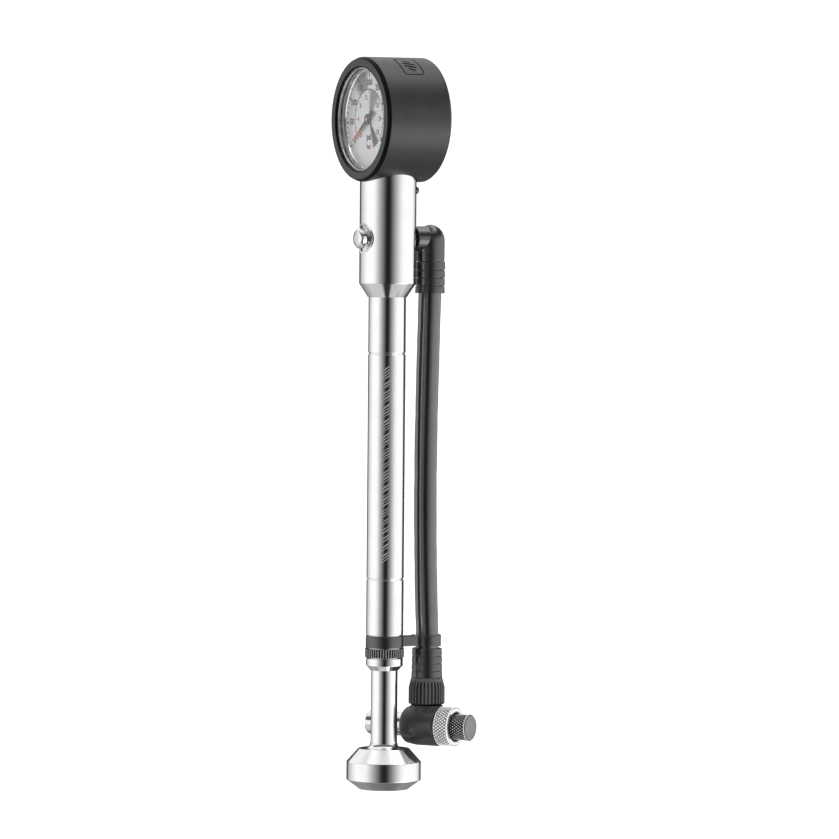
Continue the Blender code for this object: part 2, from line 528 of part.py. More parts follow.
# Chuck ----------------------------------------------------------------------------------------
def make_chuck(hose_axis):
    axis = pivot("chuck_axis", (0, 0, CHUCK_Z - SWIVEL_Z), parent=hose_axis, turn=(0, 0, CHUCK_TURN))
    down = (0, 0, -CHUCK_Z)
    turned("swivel_nut", [
        (5.0, 31.25), (6.5, 31.25), (6.86, 31.7), (6.86, 38.0), (6.0, 40.8), (5.7, 41.1), (2.4, 41.1),
        (2.4, 38.3), (5.0, 38.3)], BLACK_PLASTIC, FINE, axis, down)
    body = turned("chuck_body", [
        (0, -9.2), (4.9, -9.2), (6.3, -8.4), (7.2, -6.9), (CHUCK_R, -4.6), (CHUCK_R, 6.2), (0, 6.2)],
        BLACK_PLASTIC, FINE, axis, turn=ACROSS)
    neck = turned("chuck_neck", [(0, CHUCK_Z + 1.3), (6.15, CHUCK_Z + 1.3), (6.15, 31.0), (4.8, 31.0),
                                 (4.8, 35.5), (0, 35.5)], None, PLAIN, axis, down)
    join(body, neck)
    bore = [(0, -10.0), (4.65, -10.0), (4.65, -0.9), (5.2, -0.9), (5.2, 0.9), (4.65, 0.9),
            (4.65, 7.0), (0, 7.0)]
    riser = [(0, 26.0), (1.2, 26.0), (1.2, 32.9), (2.9, 32.9), (2.9, 36.0), (0, 36.0)]
    cut(body, turned("chuck_bore_cutter", bore, None, FINE, axis, turn=ACROSS),
        turned("chuck_riser_cutter", riser, None, PLAIN, axis, down))
    o_ring("nipple_seal", 2.38, 0.38, 34.4, parent=axis, at=down)

    coupler = turned("coupler", [
        (3.85, -24.4), (4.1, -24.4), (COUPLER_R, -23.8), (COUPLER_R, 2.8), (3.65, 2.8), (3.65, 4.3),
        (COUPLER_R, 4.3), (COUPLER_R, 6.3), (3.6, 6.3), (3.6, 10.3), (1.6, 10.3), (1.6, 9.05),
        (2.3, 9.05), (2.3, 7.95), (1.6, 7.95), (1.6, -13.4), (3.85, -13.4)], CHROME, PLAIN, axis, turn=ACROSS)
    cut(coupler, rod("coupler_air_cutter", 0.7, 0.0, 6.0, 12, axis))
    o_ring("coupler_seal", 4.14, 0.38, 3.55, parent=axis, turn=ACROSS)
    o_ring("pin_seal", 1.72, 0.38, 8.5, parent=axis, turn=ACROSS)
    turned("coupler_gasket", [(1.7, -14.6), (3.6, -14.6), (3.6, -13.7), (1.7, -13.7)], SEAL_RUBBER, PLAIN,
           axis, turn=ACROSS)
    turned("coupler_ring", [
        (3.8, 6.6), (7.2, 6.6), (7.5, 6.9), (7.5, 12.3), (7.1, 12.7), (5.3, 12.7), (5.3, 10.7), (3.8, 10.7)],
        STEEL, FINE, axis, turn=ACROSS)
    turned("pin_knob", [
        (0, 17.2), (1.7, 17.2), (1.7, 10.95), (4.6, 10.95), (4.75, 11.3), (5.15, 18.7), (4.95, 19.0),
        (0, 19.0)], BLACK_PLASTIC, FINE, axis, turn=ACROSS)
    turned("valve_pin", [(0, -16.5), (1.2, -16.5), (1.2, 15.8), (0, 15.8)], BRASS, SMALL, axis, turn=ACROSS)


make_barrel()
make_head()
make_check_valve()
make_gland()
make_hose_clip()
make_bleed_valve()
make_gauge_shell()
make_socket()
make_bourdon_tube()
make_movement()
make_handle()
make_chuck(make_hose())
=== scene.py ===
"""Looks of the mini pump: camera, studio and a detailed piece over each visible CAD node.

Sizes are millimetres unless a name says otherwise, and angles are degrees. Places come from the frame.
"""

import json
import math
import random

import bmesh
import bpy
from mathutils import Matrix, Vector


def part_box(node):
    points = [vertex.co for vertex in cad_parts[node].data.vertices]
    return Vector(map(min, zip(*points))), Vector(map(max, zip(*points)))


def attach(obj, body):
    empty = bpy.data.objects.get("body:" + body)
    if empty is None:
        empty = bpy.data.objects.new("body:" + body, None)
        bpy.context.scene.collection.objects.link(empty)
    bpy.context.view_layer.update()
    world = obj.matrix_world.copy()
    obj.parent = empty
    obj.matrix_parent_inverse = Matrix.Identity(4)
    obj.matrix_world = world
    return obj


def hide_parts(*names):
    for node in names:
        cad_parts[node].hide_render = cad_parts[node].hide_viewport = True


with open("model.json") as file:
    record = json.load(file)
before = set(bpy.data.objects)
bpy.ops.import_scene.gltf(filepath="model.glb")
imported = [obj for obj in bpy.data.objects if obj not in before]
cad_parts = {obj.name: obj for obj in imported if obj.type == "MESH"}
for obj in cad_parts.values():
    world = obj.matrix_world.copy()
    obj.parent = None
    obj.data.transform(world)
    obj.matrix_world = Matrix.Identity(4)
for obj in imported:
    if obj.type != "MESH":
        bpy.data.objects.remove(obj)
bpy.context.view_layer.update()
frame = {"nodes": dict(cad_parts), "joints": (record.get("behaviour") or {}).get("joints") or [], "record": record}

MM = 0.001
MERGE = 1e-7
FINE = 144            # sides of the large turned pieces
PLAIN = 96
SMALL = 48
ARC_STEPS = 4         # faces in a rounded corner
SHARP = math.radians(33.0)


# Places -------------------------------
def corners(node):
    """Lowest and highest corner of a CAD node at rest, in millimetres."""
    low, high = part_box(node)
    return low / MM, high / MM


def heights(node):
    """Lowest and highest Z of a CAD node."""
    low, high = corners(node)
    return low.z, high.z


def middle(node):
    low, high = corners(node)
    return (low + high) / 2


def spot(x, y, z, *turns):
    """Matrix, in metres, of a place in millimetres, with (degrees, axis) turns applied in turn."""
    matrix = Matrix.Translation(Vector((x, y, z)) * MM)
    for degrees, axis in turns:
        matrix = matrix @ Matrix.Rotation(math.radians(degrees), 4, axis)
    return matrix


def added(name, data):
    """New object in the scene."""
    made = bpy.data.objects.new(name, data)
    bpy.context.scene.collection.objects.link(made)
    return made


BODY_OF = {node: body for body, nodes in frame["record"]["behaviour"]["bodies"].items() for node in nodes}
SLOT_OF = {part["node"]: part["material_slot"] for part in frame["record"]["subparts"]}
JOINTS = {joint["name"]: joint for joint in frame["joints"]}

GAUGE_Z = middle("gauge_case").z
SWIVEL_Z = middle("bleed_button").z
HOSE_Y = middle("lower_sleeve").y
CHUCK_Z = middle("coupler_ring").z
CHUCK_AXIS = Vector(JOINTS["coupler_turn"]["axis"])
CHUCK_TURN = math.degrees(math.atan2(CHUCK_AXIS.y, CHUCK_AXIS.x))

BOOT_R = corners("gauge_boot")[1].x
HEAD_R = corners("head_block")[1].x
BARREL_R = corners("barrel_tube")[1].x
ROD_R = corners("piston_rod")[1].x
KNOB_R = corners("handle_knob")[1].x
LOCK_R = corners("lock_ring")[1].x
NUT_R = corners("swivel_nut")[1].x
HOSE_R = corners("hose")[1].x
NUT_CONE = 37.7               # height at which the swivel nut starts to narrow

FRONT = (90.0, "X")            # local +Z points to the front, -Y
BACK = (-90.0, "X")
UPRIGHT = Matrix()
GAUGE = spot(0, 0, GAUGE_Z, FRONT)
BLEED = spot(0, 0, SWIVEL_Z, FRONT)
HOSE_LINE = spot(0, HOSE_Y, 0)
CHUCK = spot(0, HOSE_Y, CHUCK_Z, (CHUCK_TURN, "Z"), (90.0, "Y"))


# Camera -------------------------------
VIEW_TURN = 61.6              # how far the camera stands round from the front, towards +X
VIEW_TILT = 2.19
VIEW_ROLL = 0.47
VIEW_DISTANCE = 2.1           # metres
VIEW_SIDEWAYS = 0.0124
VIEW_HEIGHT = 0.219
FOCAL_LENGTH = 240.9


def towards_camera():
    turn = math.radians(VIEW_TURN)
    return Vector((math.sin(turn), -math.cos(turn), 0.0))


def make_camera():
    away = towards_camera()
    right = Vector((-away.y, away.x, 0.0))
    place = away * VIEW_DISTANCE + right * VIEW_SIDEWAYS + Vector((0.0, 0.0, VIEW_HEIGHT))
    data = bpy.data.cameras.new("camera")
    data.lens = FOCAL_LENGTH
    data.sensor_width = 36.0
    camera = added("camera", data)
    camera.matrix_world = (Matrix.Translation(place)
                           @ Matrix.Rotation(math.radians(VIEW_TURN), 4, "Z")
                           @ Matrix.Rotation(math.radians(90.0 - VIEW_TILT), 4, "X")
                           @ Matrix.Rotation(math.radians(VIEW_ROLL), 4, "Z"))
    bpy.context.scene.camera = camera
    bpy.context.scene.view_settings.view_transform = "Standard"


# Shader nodes -------------------------
def fed(tree, value, socket):
    """Gives a socket its value, or a link from another node's output."""
    if isinstance(value, bpy.types.NodeSocket):
        tree.links.new(value, socket)
    else:
        socket.default_value = value


def node(tree, kind, inputs=None, **settings):
    """New shader node; an input is either a value or another node's output to link."""
    made = tree.nodes.new("ShaderNode" + kind)
    for name, value in settings.items():
        setattr(made, name, value)
    for key, value in (inputs or {}).items():
        fed(tree, value, made.inputs[key])
    return made


def maths(tree, operation, *values):
    return node(tree, "Math", dict(enumerate(values)), operation=operation).outputs[0]


def times(tree, first, second):
    return maths(tree, "MULTIPLY", first, second)


def faded(tree, value, start, end, low=0.0, high=1.0, kind="LINEAR"):
    """Value mapped from start and end to low and high, and held at them outside."""
    made = node(tree, "MapRange", {0: value, 1: start, 2: end, 3: low, 4: high}, interpolation_type=kind)
    return made.outputs[0]


def ramp(tree, factor, stops, interpolation="LINEAR"):
    """Colour ramp of (position, grey or colour) stops."""
    made = node(tree, "ValToRGB", {"Fac": factor})
    made.color_ramp.interpolation = interpolation
    elements = made.color_ramp.elements
    while len(elements) > 1:
        elements.remove(elements[-1])
    for i, (position, value) in enumerate(stops):
        element = elements[0] if i == 0 else elements.new(position)
        element.position = position
        element.color = (*value, 1.0) if isinstance(value, tuple) else (value, value, value, 1.0)
    return made.outputs["Color"]


def blended(tree, factor, first, second, mode="MIX"):
    made = node(tree, "Mix", data_type="RGBA", blend_type=mode)
    for key, value in ((0, factor), (6, first), (7, second)):
        fed(tree, value, made.inputs[key])
    return made.outputs[2]


# Studio -------------------------------
# Greys of the studio by compass angle from the camera, positive to the picture's right.
WALL = [(-180, 0.03), (-152, 0.05), (-144, 0.22), (-136, 0.48), (-123, 0.64), (-108, 0.82), (-90, 1.0),
        (-60, 0.97), (-50, 0.82), (-40, 0.55), (-29, 0.34), (-18, 0.17), (-8, 0.04), (-2, 0.015), (8, 0.015),
        (16, 0.09), (23, 0.20), (38, 0.46), (47, 0.66), (60, 0.90), (75, 1.0), (115, 1.0), (128, 0.82),
        (140, 0.52), (148, 0.13), (156, 0.03), (180, 0.03)]
GROUND = [(-180, 0.22), (-140, 0.30), (-110, 0.55), (-60, 0.60), (-30, 0.22), (-12, 0.03), (10, 0.03),
          (24, 0.14), (48, 0.45), (75, 0.62), (105, 0.62), (130, 0.32), (180, 0.20)]
UNDER = [(-180, 0.16), (-120, 0.22), (-90, 0.55), (-42, 0.55), (-20, 0.03), (16, 0.03), (34, 0.50),
         (80, 0.55), (100, 0.15), (180, 0.14)]
# Grey of the ceiling by height above the horizon, on the near side and on the far left.
CEILING = [(10, 0.80), (24, 0.10), (42, 0.06), (54, 0.60), (62, 1.0), (72, 1.0), (80, 0.55), (90, 0.55)]
WALL_TOP = (13.0, 24.0)       # the wall fades into the ceiling between these heights
WALL_FOOT = (-9.0, -20.0)
BRIGHTNESS = 1.12
PATCH, SKYLIGHT = 1.7, 1.1    # extra light from a low box on the right and from a strip overhead


def window(tree, value, start, full, last, end):
    """Soft-edged band of a value, 1 between full and last."""
    rise = faded(tree, value, start, full, kind="SMOOTHSTEP")
    fall = faded(tree, value, end, last, kind="SMOOTHSTEP")
    return times(tree, rise, fall)


def make_world():
    """Soft studio: white behind the object, with dark and bright walls that only reflections show."""
    world = bpy.data.worlds.new("studio")
    bpy.context.scene.world = world
    world.use_nodes = True
    tree = world.node_tree
    tree.nodes.clear()
    direction = node(tree, "TexCoord").outputs["Generated"]
    turned_view = node(tree, "VectorRotate", {"Vector": direction, "Angle": -math.radians(VIEW_TURN)},
                       rotation_type="Z_AXIS").outputs[0]
    axes = node(tree, "SeparateXYZ", {0: turned_view}).outputs
    nearer = times(tree, axes["Y"], -1.0)
    compass = times(tree, maths(tree, "ARCTAN2", axes["X"], nearer), 180.0 / math.pi)
    height = times(tree, maths(tree, "ARCSINE", axes["Z"]), 180.0 / math.pi)
    circle_share = faded(tree, compass, -180.0, 180.0)

    def share(low, high):
        return faded(tree, height, low, high, kind="SMOOTHSTEP")

    def by_compass(greys):
        return ramp(tree, circle_share, [((angle + 180.0) / 360.0, grey) for angle, grey in greys])

    wall = by_compass(WALL)
    overhead = ramp(tree, faded(tree, height, 0.0, 90.0), [(angle / 90.0, grey) for angle, grey in CEILING])
    near_side = window(tree, compass, -115.0, -90.0, 145.0, 165.0)
    ceiling = blended(tree, near_side, (0.9, 0.9, 0.9, 1.0), overhead)
    grey = blended(tree, share(*WALL_TOP), wall, ceiling)
    grey = blended(tree, share(*WALL_FOOT), grey, by_compass(GROUND))
    grey = blended(tree, share(-48.0, -60.0), grey, by_compass(UNDER))
    grey = blended(tree, share(-75.0, -80.0), grey, (0.55, 0.55, 0.55, 1.0))
    patch = times(tree, window(tree, compass, 30.0, 42.0, 88.0, 102.0),
                  window(tree, height, -46.0, -38.0, -14.0, -8.0))
    skylight = times(tree, window(tree, compass, 60.0, 85.0, 175.0, 180.0),
                     window(tree, height, 50.0, 58.0, 68.0, 76.0))
    extra = maths(tree, "ADD", times(tree, patch, PATCH), times(tree, skylight, SKYLIGHT))
    total = maths(tree, "ADD", grey, extra)
    seen = node(tree, "LightPath").outputs["Is Camera Ray"]
    colour = blended(tree, seen, total, (1.0, 1.0, 1.0, 1.0))
    background = node(tree, "Background", {"Color": colour, "Strength": BRIGHTNESS})
    output = node(tree, "OutputWorld")
    tree.links.new(background.outputs[0], output.inputs[0])


def make_lights():
    """Two large soft boxes; the world gives the reflections, so the boxes stay out of them."""
    for name, turn, height, size, watts in (("key", 5.0, 1.3, 0.9, 9.0), ("fill", 125.0, 0.9, 1.0, 6.0)):
        data = bpy.data.lights.new(name, "AREA")
        data.size = size
        data.energy = watts
        light = added(name, data)
        angle = math.radians(turn)
        place = Vector((math.sin(angle), -math.cos(angle), height))
        target = Vector((0.0, 0.0, 0.14))
        light.location = place
        light.rotation_euler = (place - target).to_track_quat("Z", "Y").to_euler()
        light.visible_glossy = False


def make_floor():
    bm = bmesh.new()
    bmesh.ops.create_grid(bm, x_segments=4, y_segments=4, size=4.0)
    floor = as_object("floor", bm, UPRIGHT)
    material, tree, shader, _ = look("floor", 0.9, Specular_IOR_Level=0.0,
                                     Emission_Color=(1.0, 1.0, 1.0, 1.0), Emission_Strength=0.80)
    speckle = node(tree, "TexNoise", {"Scale": 40.0}).outputs["Fac"]
    tinted(tree, shader, speckle, 0.60, 0.62, 0.0, 1.0)
    floor.data.materials.append(material)
    floor.visible_glossy = False


# Materials ----------------------------
def look(name, roughness, metallic=0.0, **sockets):
    """Principled material, with its object coordinates; further sockets by name with _ for spaces."""
    material = bpy.data.materials.new(name)
    material.use_nodes = True
    tree = material.node_tree
    shader = tree.nodes["Principled BSDF"]
    shader.inputs["Roughness"].default_value = roughness
    shader.inputs["Metallic"].default_value = metallic
    for socket, value in sockets.items():
        shader.inputs[socket.replace("_", " ")].default_value = value
    return material, tree, shader, node(tree, "TexCoord").outputs["Object"]


def noise(tree, vector, size, detail=3.0, stretch=(1.0, 1.0, 1.0)):
    """Noise with features about size millimetres wide, drawn out along the axes by stretch."""
    scale = tuple(1.0 / factor for factor in stretch)
    mapped = node(tree, "Mapping", {"Vector": vector, "Scale": scale}).outputs[0]
    made = node(tree, "TexNoise", {"Vector": mapped, "Scale": 1.0 / (size * MM), "Detail": detail})
    return made.outputs["Fac"]


def tinted(tree, shader, factor, dark, light, low=0.3, high=0.7):
    """Base colour between two colours by a factor."""
    tree.links.new(ramp(tree, factor, [(low, dark), (high, light)]), shader.inputs["Base Color"])


def polished(tree, shader, factor, low, high):
    """Roughness between two values by a factor."""
    tree.links.new(faded(tree, factor, 0.3, 0.7, low, high), shader.inputs["Roughness"])


def bumped(tree, shader, factor, depth, strength=1.0):
    """Relief of depth millimetres."""
    bump = node(tree, "Bump", {"Height": factor, "Distance": depth * MM, "Strength": strength})
    tree.links.new(bump.outputs[0], shader.inputs["Normal"])


def around(tree, vector):
    """Distance from the local Z axis, angle round it in turns clockwise from +Y, and height."""
    axes = node(tree, "SeparateXYZ", {0: vector}).outputs
    square = maths(tree, "ADD", times(tree, axes["X"], axes["X"]), times(tree, axes["Y"], axes["Y"]))
    radius = maths(tree, "SQRT", square)
    angle = maths(tree, "DIVIDE", maths(tree, "ARCTAN2", axes["X"], axes["Y"]), 2 * math.pi)
    return radius, angle, axes["Z"]


def streaked(tree, along, angle, pitch, breaks, detail):
    """Noise of rings about pitch millimetres apart, each broken some times in a turn."""
    spread = node(tree, "CombineXYZ", {0: maths(tree, "DIVIDE", along, pitch * MM),
                                       1: times(tree, angle, breaks), 2: 0.0}).outputs[0]
    return node(tree, "TexNoise", {"Vector": spread, "Scale": 1.0, "Detail": detail}).outputs["Fac"]


def lathe_marks(tree, vector, pitch, across=0.0):
    """Fine turning marks: rings by height, and by radius as well where across is 1."""
    radius, angle, height = around(tree, vector)
    along = maths(tree, "ADD", height, times(tree, radius, across))
    return streaked(tree, along, angle, pitch, 3.0, 2.0)


def metal(name, dark, light, roughness, marks, relief, across=0.0):
    """Bare or plated metal with turning marks; roughness is a (low, high) pair."""
    material, tree, shader, vector = look(name, roughness[0], 1.0)
    tinted(tree, shader, noise(tree, vector, 6.0), dark, light)
    rings = lathe_marks(tree, vector, marks, across)
    cloud = noise(tree, vector, 2.5)
    polished(tree, shader, times(tree, maths(tree, "ADD", rings, cloud), 0.5), *roughness)
    bumped(tree, shader, rings, relief)
    return material


def mottled(name, dark, light, roughness, grain=1.0, relief=0.0, patch=4.0, cloud=1.6, detail=4.0, **sockets):
    """Rubber, plastic or print, whose grain has no direction; roughness is a (low, high) pair.

    patch, cloud and grain are the sizes, in millimetres, of its changes of colour, gloss and height.
    """
    material, tree, shader, vector = look(name, roughness[0], **sockets)
    tinted(tree, shader, noise(tree, vector, patch), dark, light)
    polished(tree, shader, noise(tree, vector, cloud), *roughness)
    if relief:
        bumped(tree, shader, noise(tree, vector, grain, detail), relief)
    return material


def dial_metal():
    """Circular-brushed aluminium; darker fans are painted into its base colour as painted reflections, where the
    brushing of a stamped disc catches less light.
    """
    material, tree, shader, vector = look("brushed_dial", 0.36, 0.40)
    radius, angle, _ = around(tree, vector)
    brushing = streaked(tree, radius, angle, 0.16, 5.0, 3.0)
    turns = maths(tree, "ADD", angle, 0.5)
    # Painted reflections: the base colour is darker in fans by angle round the dial, one set beyond the inner arc
    # and one within it.
    outer = ramp(tree, turns, [(0.36, 1.0), (0.425, 0.24), (0.465, 0.26), (0.50, 1.0), (0.80, 1.0)], "EASE")
    inner = ramp(tree, turns, [(0.48, 1.0), (0.535, 0.30), (0.59, 0.32), (0.65, 1.0), (0.86, 1.0),
                               (0.895, 0.07), (0.935, 0.09), (0.965, 1.0)], "EASE")
    painted_reflection_fans = blended(tree, faded(tree, radius, 11.0 * MM, 11.4 * MM), inner, outer)
    streaks = ramp(tree, brushing, [(0.25, 0.74), (0.75, 1.0)])
    tree.links.new(blended(tree, 1.0, painted_reflection_fans, streaks, "MULTIPLY"), shader.inputs["Base Color"])
    polished(tree, shader, brushing, 0.30, 0.46)
    bumped(tree, shader, brushing, 0.004)
    return material


def knurled(name, groove, tip, roughness, metallic, tip_r, depth, slope=0.0, span=(0.35, 1.05), start=0.0):
    """Cut grip whose grooves are painted dark as shade and whose tips take the tip colour, a painted highlight on
    the black grips.

    The tips' radius is tip_r up to the height start, and grows by slope above it; span is the part of the
    depth, from the bottom of a groove up, over which the colour changes.
    """
    material, tree, shader, vector = look(name, roughness, metallic)
    radius, _, height = around(tree, vector)
    above = maths(tree, "MAXIMUM", maths(tree, "SUBTRACT", height, start * MM), 0.0)
    level = maths(tree, "SUBTRACT", radius, times(tree, above, slope))
    # Painted shade and highlight: the base colour runs from the groove colour at the groove bottoms to the tip
    # colour on the tips.
    share = faded(tree, level, (tip_r - depth) * MM, tip_r * MM)
    painted_shade_to_tip = maths(tree, "ADD", share, times(tree, noise(tree, vector, 1.4), 0.2))
    tinted(tree, shader, painted_shade_to_tip, groove, tip, *span)
    polished(tree, shader, noise(tree, vector, 0.6), roughness - 0.05, roughness + 0.08)
    return material


def ink(name, dark, light):
    return mottled(name, dark, light, (0.42, 0.6), patch=0.5, cloud=0.3)


def boot_rubber():
    """Moulded boot; its lip inside the glass opening and the bevel outside it lie in painted shade: a near-black
    base colour and weaker specular.
    """
    material, tree, shader, vector = look("boot_rubber", 0.35)
    radius, _, height = around(tree, vector)
    # Painted shade: masks of the lip inside the glass opening and of the outer front bevel, which darken the base
    # colour and the specular.
    inside = times(tree, faded(tree, radius, 19.9 * MM, 19.6 * MM), faded(tree, height, 0.0, 1.0 * MM))
    edge = times(tree, faded(tree, radius, 22.2 * MM, 22.5 * MM), faded(tree, height, 10.9 * MM, 11.2 * MM))
    shade = maths(tree, "MAXIMUM", inside, edge)
    cloud = ramp(tree, noise(tree, vector, 4.0),
                 [(0.3, (0.020, 0.020, 0.0205)), (0.7, (0.026, 0.026, 0.0265))])
    tree.links.new(blended(tree, shade, cloud, (0.004, 0.004, 0.004, 1.0)), shader.inputs["Base Color"])
    tree.links.new(faded(tree, shade, 0.0, 1.0, 0.5, 0.06), shader.inputs["Specular IOR Level"])
    polished(tree, shader, noise(tree, vector, 1.6), 0.33, 0.38)
    bumped(tree, shader, noise(tree, vector, 0.22, 4.0), 0.010)
    return material


def glass():
    material, tree, shader, vector = look("clear_lens", 0.02, Transmission_Weight=1.0, IOR=1.45)
    smear = noise(tree, vector, 9.0)
    tinted(tree, shader, smear, (0.97, 0.98, 0.98), (1.0, 1.0, 1.0))
    polished(tree, shader, smear, 0.0, 0.02)
    return material


CHROME = metal("polished_chrome", (0.86, 0.87, 0.88), (0.92, 0.92, 0.93), (0.045, 0.085), 0.5, 0.0004)
TURNED = metal("turned_chrome", (0.84, 0.85, 0.86), (0.92, 0.92, 0.93), (0.10, 0.17), 0.22, 0.0012, 1.0)
FACED = metal("faced_silver", 0.94, 1.0, (0.12, 0.20), 0.16, 0.001, 1.0)
DARK_STEEL = metal("dark_steel", 0.10, 0.16, (0.25, 0.36), 0.3, 0.002)
STEEL = metal("steel", (0.50, 0.51, 0.52), (0.66, 0.66, 0.67), (0.22, 0.34), 0.3, 0.002)
BRASS = metal("brass", (0.62, 0.45, 0.20), (0.78, 0.60, 0.30), (0.20, 0.32), 0.3, 0.002)
WALL_STEEL = mottled("satin_steel", (0.34, 0.34, 0.35), (0.62, 0.62, 0.63), (0.30, 0.42), 0.3, 0.004,
                     Metallic=0.35)
PLASTIC = mottled("black_plastic", (0.008, 0.008, 0.009), (0.013, 0.013, 0.014), (0.19, 0.27), 0.30, 0.006,
                  IOR=2.0)
SKIN = mottled("moulded_rubber", 0.020, 0.036, (0.34, 0.42), 0.9, 0.04, Specular_IOR_Level=0.7)
KNOB_FACE = mottled("knob_face", 0.17, 0.21, (0.42, 0.55), 0.25, 0.006)
HOSE = mottled("hose_rubber", (0.005, 0.005, 0.0055), (0.009, 0.009, 0.0095), (0.14, 0.20), 1.8, 0.02,
               IOR=2.0, Coat_Weight=1.0, Coat_Roughness=0.12, Coat_IOR=1.6)
SEAL = mottled("seal_rubber", 0.012, 0.022, (0.45, 0.55), 0.25, 0.006)
# Grips: the groove colours are painted shade, and the lighter tip colours of the black grips are painted
# highlights.
KNURLED = knurled("knurled_silver", 0.02, 1.0, 0.30, 0.20, 7.5, 0.45, span=(0.25, 0.58))
KNOB_BLACK = knurled("knurled_black", 0.003, 0.90, 0.34, 0.25, 4.16, 0.36, 0.0534, (0.40, 0.80))
SERRATED = knurled("serrated_black", 0.002, 0.24, 0.26, 0.25, 7.36, 0.34, span=(0.55, 1.1))
FLUTED = knurled("fluted_black", 0.001, (0.075, 0.075, 0.076), 0.20, 0.0, 6.86, 0.34, -0.28,
                 start=NUT_CONE)
BOOT = boot_rubber()
LENS = glass()
DIAL = dial_metal()
BLACK_INK = ink("black_ink", (0.010, 0.010, 0.011), (0.020, 0.020, 0.022))
RED_INK = ink("red_ink", (0.36, 0.10, 0.09), (0.45, 0.14, 0.12))
BRIGHT_RED = ink("bright_red_paint", (0.62, 0.10, 0.07), (0.74, 0.14, 0.10))
NEEDLE = ink("needle_black", 0.018, 0.035)
ETCHED = mottled("etched_metal", (0.20, 0.20, 0.21), (0.38, 0.38, 0.39), (0.38, 0.55), 0.15, 0.003,
                 0.8, 0.4, 3.0, Metallic=0.15)

SLOT_LOOKS = {"polished_alloy": CHROME, "chromed_steel": CHROME, "knurled_silver": KNURLED, "steel": STEEL,
              "brass": BRASS, "boot_rubber": BOOT, "black_plastic": PLASTIC, "knurled_black": KNOB_BLACK,
              "hose_rubber": HOSE, "seal_rubber": SEAL, "clear_lens": LENS, "dial_face": DIAL,
              "needle_black": NEEDLE}


# Mesh tools ---------------------------
def as_object(name, bm, place):
    bmesh.ops.remove_doubles(bm, verts=bm.verts, dist=MERGE)
    bmesh.ops.recalc_face_normals(bm, faces=bm.faces)
    mesh = bpy.data.meshes.new(name)
    bm.to_mesh(mesh)
    bm.free()
    made = added(name, mesh)
    made.matrix_world = place
    return made


def rounded(points):
    """Outline whose (x, y, radius) points become arcs; (x, y) points stay sharp."""
    result = []
    for i, point in enumerate(points):
        if len(point) == 2:
            result.append(point)
            continue
        here = Vector(point[:2])
        back = Vector(points[i - 1][:2]) - here
        ahead = Vector(points[(i + 1) % len(points)][:2]) - here
        half = back.angle(ahead) / 2
        reach = min(point[2] / math.tan(half), 0.48 * back.length, 0.48 * ahead.length)
        radius = reach * math.tan(half)
        start, end = here + back.normalized() * reach, here + ahead.normalized() * reach
        centre = here + (back.normalized() + ahead.normalized()).normalized() * (radius / math.sin(half))
        first, last = start - centre, end - centre
        sweep = math.atan2(first.x * last.y - first.y * last.x, first.dot(last))
        for k in range(ARC_STEPS + 1):
            step = Matrix.Rotation(sweep * k / ARC_STEPS, 2) @ first
            result.append(tuple(centre + step))
    return result


def stepped(points, step):
    """The same outline with no stretch longer than step."""
    result = [points[0]]
    for before, after in zip(points, points[1:]):
        count = max(1, math.ceil(math.dist(before, after) / step))
        result += [tuple(b + (a - b) * i / count for b, a in zip(before, after)) for i in range(1, count + 1)]
    return result


def lathe(name, profile, place=UPRIGHT, segments=FINE, shape=None):
    """Solid of revolution about local Z of (radius, height) points.

    A profile that starts and ends on the axis is left open there; any other is a closed ring.
    shape(angle, radius, height) gives the radius where the piece isn't round.
    """
    bm = bmesh.new()
    rings = []
    for radius, height in profile:
        if radius == 0.0:
            rings.append([bm.verts.new((0.0, 0.0, height * MM))] * segments)
            continue
        ring = []
        for i in range(segments):
            angle = 2 * math.pi * i / segments
            reach = (shape(angle, radius, height) if shape else radius) * MM
            ring.append(bm.verts.new((reach * math.cos(angle), reach * math.sin(angle), height * MM)))
        rings.append(ring)
    pairs = list(zip(rings, rings[1:]))
    if profile[0][0] > 0.0:
        pairs.append((rings[-1], rings[0]))
    for low, high in pairs:
        for i in range(segments):
            j = (i + 1) % segments
            face = list(dict.fromkeys((low[i], low[j], high[j], high[i])))
            if len(face) > 2:
                bm.faces.new(face)
    return as_object(name, bm, place)


def wall(bm, first, second):
    """Quads between two rings of vertices."""
    for i in range(len(first)):
        j = (i + 1) % len(first)
        bm.faces.new((first[i], first[j], second[j], second[i]))


def lofted(name, rings, place=UPRIGHT):
    """Capped skin over rings of points."""
    bm = bmesh.new()
    loops = [[bm.verts.new(Vector(point) * MM) for point in ring] for ring in rings]
    bm.faces.new(loops[0])
    bm.faces.new(loops[-1])
    for first, second in zip(loops, loops[1:]):
        wall(bm, first, second)
    return as_object(name, bm, place)


def prism(name, outline, low, high, place=UPRIGHT):
    return lofted(name, [[(x, y, z) for x, y in outline] for z in (low, high)], place)


def bar(name, radius, low, high, place=UPRIGHT, segments=PLAIN):
    """Plain round bar for cutting or joining."""
    return lathe(name, [(0.0, low), (radius, low), (radius, high), (0.0, high)], place, segments)


